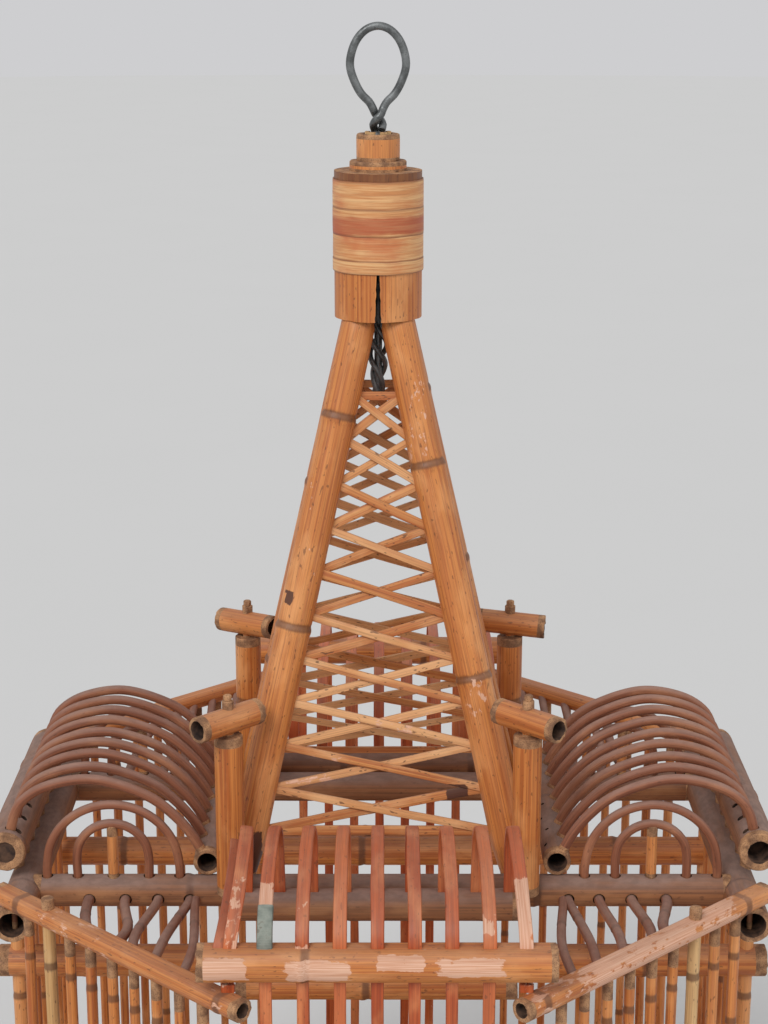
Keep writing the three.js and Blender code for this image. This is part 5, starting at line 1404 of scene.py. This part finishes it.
def addTray():
    low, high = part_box("tray")
    half = railLine("side_tube_right")[1].y
    halfX, halfY = wall["reach"] - tray["inset"], hood["reach"] - tray["endInset"]
    cornerY, cornerX = half - tray["cornerBack"], hood["half"] - tray["cornerIn"]
    shape = Shape()

    def outline(inset):
        w, l = halfX - inset, halfY - inset
        cy, cx = cornerY - inset / 2, cornerX - inset / 2
        return [(w, -cy), (w, cy), (cx, l), (-cx, l), (-w, cy), (-w, -cy), (-cx, -l), (cx, -l)]
    edge = 0.6 * mm
    levels = [(edge, low.z), (0, low.z + edge), (0, high.z - edge), (edge, high.z), (tray["rim"] - edge, high.z),
              (tray["rim"], high.z - edge), (tray["rim"], low.z + tray["floor"])]
    rings = []
    for inset, z in levels:
        rings.append([shape.point(Vector((x, y, z)), (x, y, z)) for x, y in outline(inset)])
    for lower, upper in zip(rings, rings[1:]):
        for k in range(8):
            j = (k + 1) % 8
            shape.face((lower[k], lower[j], upper[j], upper[k]), 0)
    shape.face(tuple(reversed(rings[0])), 0)
    shape.face(tuple(rings[-1]), 0)
    addCane(shape, [Vector((0, -halfY - tray["pullLength"], (low.z + high.z) / 2)), Vector((0, -halfY + 1 * mm, (low.z + high.z) / 2))],
            tray["pull"], sides=20, step=3 * mm, seed=740, tone=0.6, paint=1)
    keep(meshObject("tray_board", shape, ["board", *canePaints["honey"]]), "tray", "floor_board", "tray")


def addPerch():
    start, stop = railLine("perch")
    shape = Shape()
    addCane(shape, [start, stop], 6 * mm, sides=24, step=6 * mm, knots=[0.09, 0.24, 0.37], seed=750, tone=0.4)
    piece = meshObject("perch_cane", shape, canePaints["honey"])
    keep(piece, "cage", "honey_cane", "perch")


addDoor()
addRunners()
addTray()
addPerch()
print("door, tray and perch made")


# Floor and light

studio = {"floor": 0.60, "world": 0.62, "backdrop": screen(206, 206, 208), "key": 1.55, "fill": 0.35}


def addStage():
    data = bpy.data.meshes.new("floor")
    size, count = 14.0, 48
    points = [(0, 0, 0)] + [(size * math.cos(2 * math.pi * k / count), size * math.sin(2 * math.pi * k / count), 0) for k in range(count)]
    data.from_pydata(points, [], [(0, k + 1, (k + 1) % count + 1) for k in range(count)])
    n = Nodes("floorPaint")
    shade = n.noise(n.add("TexCoord").outputs["Object"], (3, 3, 3), 2)
    colour = n.mix(shade, (studio["floor"],) * 3 + (1,), (studio["floor"] * 1.02,) * 3 + (1,))
    data.materials.append(n.finish(colour, 0.9, shade, 0.1, 0.001, Specular_IOR_Level=0.0))
    floor = bpy.data.objects.new("floor", data)
    bpy.context.scene.collection.objects.link(floor)

    world = bpy.data.worlds.new("studio")
    world.use_nodes = True
    tree = world.node_tree
    tree.nodes.clear()
    path = tree.nodes.new("ShaderNodeLightPath")
    seen = tree.nodes.new("ShaderNodeMath")
    seen.operation = "MAXIMUM"
    seenToo = tree.nodes.new("ShaderNodeMath")
    seenToo.operation = "MAXIMUM"
    tree.links.new(path.outputs["Is Camera Ray"], seen.inputs[0])
    tree.links.new(path.outputs["Is Glossy Ray"], seen.inputs[1])
    tree.links.new(seen.outputs[0], seenToo.inputs[0])
    tree.links.new(path.outputs["Is Transmission Ray"], seenToo.inputs[1])
    light = tree.nodes.new("ShaderNodeBackground")
    light.inputs[0].default_value = (1, 1, 1, 1)
    light.inputs[1].default_value = studio["world"]
    shown = tree.nodes.new("ShaderNodeBackground")
    shown.inputs[0].default_value = studio["backdrop"]
    shown.inputs[1].default_value = 1.0
    mixer = tree.nodes.new("ShaderNodeMixShader")
    tree.links.new(seenToo.outputs[0], mixer.inputs[0])
    tree.links.new(light.outputs[0], mixer.inputs[1])
    tree.links.new(shown.outputs[0], mixer.inputs[2])
    output = tree.nodes.new("ShaderNodeOutputWorld")
    tree.links.new(mixer.outputs[0], output.inputs[0])
    bpy.context.scene.world = world

    for name, strength, turn, width in (("key", studio["key"], (48, 0, -28), 26), ("fill", studio["fill"], (60, 0, 48), 40)):
        lamp = bpy.data.lights.new(name, "SUN")
        lamp.energy = strength
        lamp.angle = math.radians(width)
        made = bpy.data.objects.new(name, lamp)
        made.rotation_euler = [math.radians(a) for a in turn]
        bpy.context.scene.collection.objects.link(made)


addStage()
bpy.context.scene.view_settings.view_transform = "Standard"
print("stage and lights made")
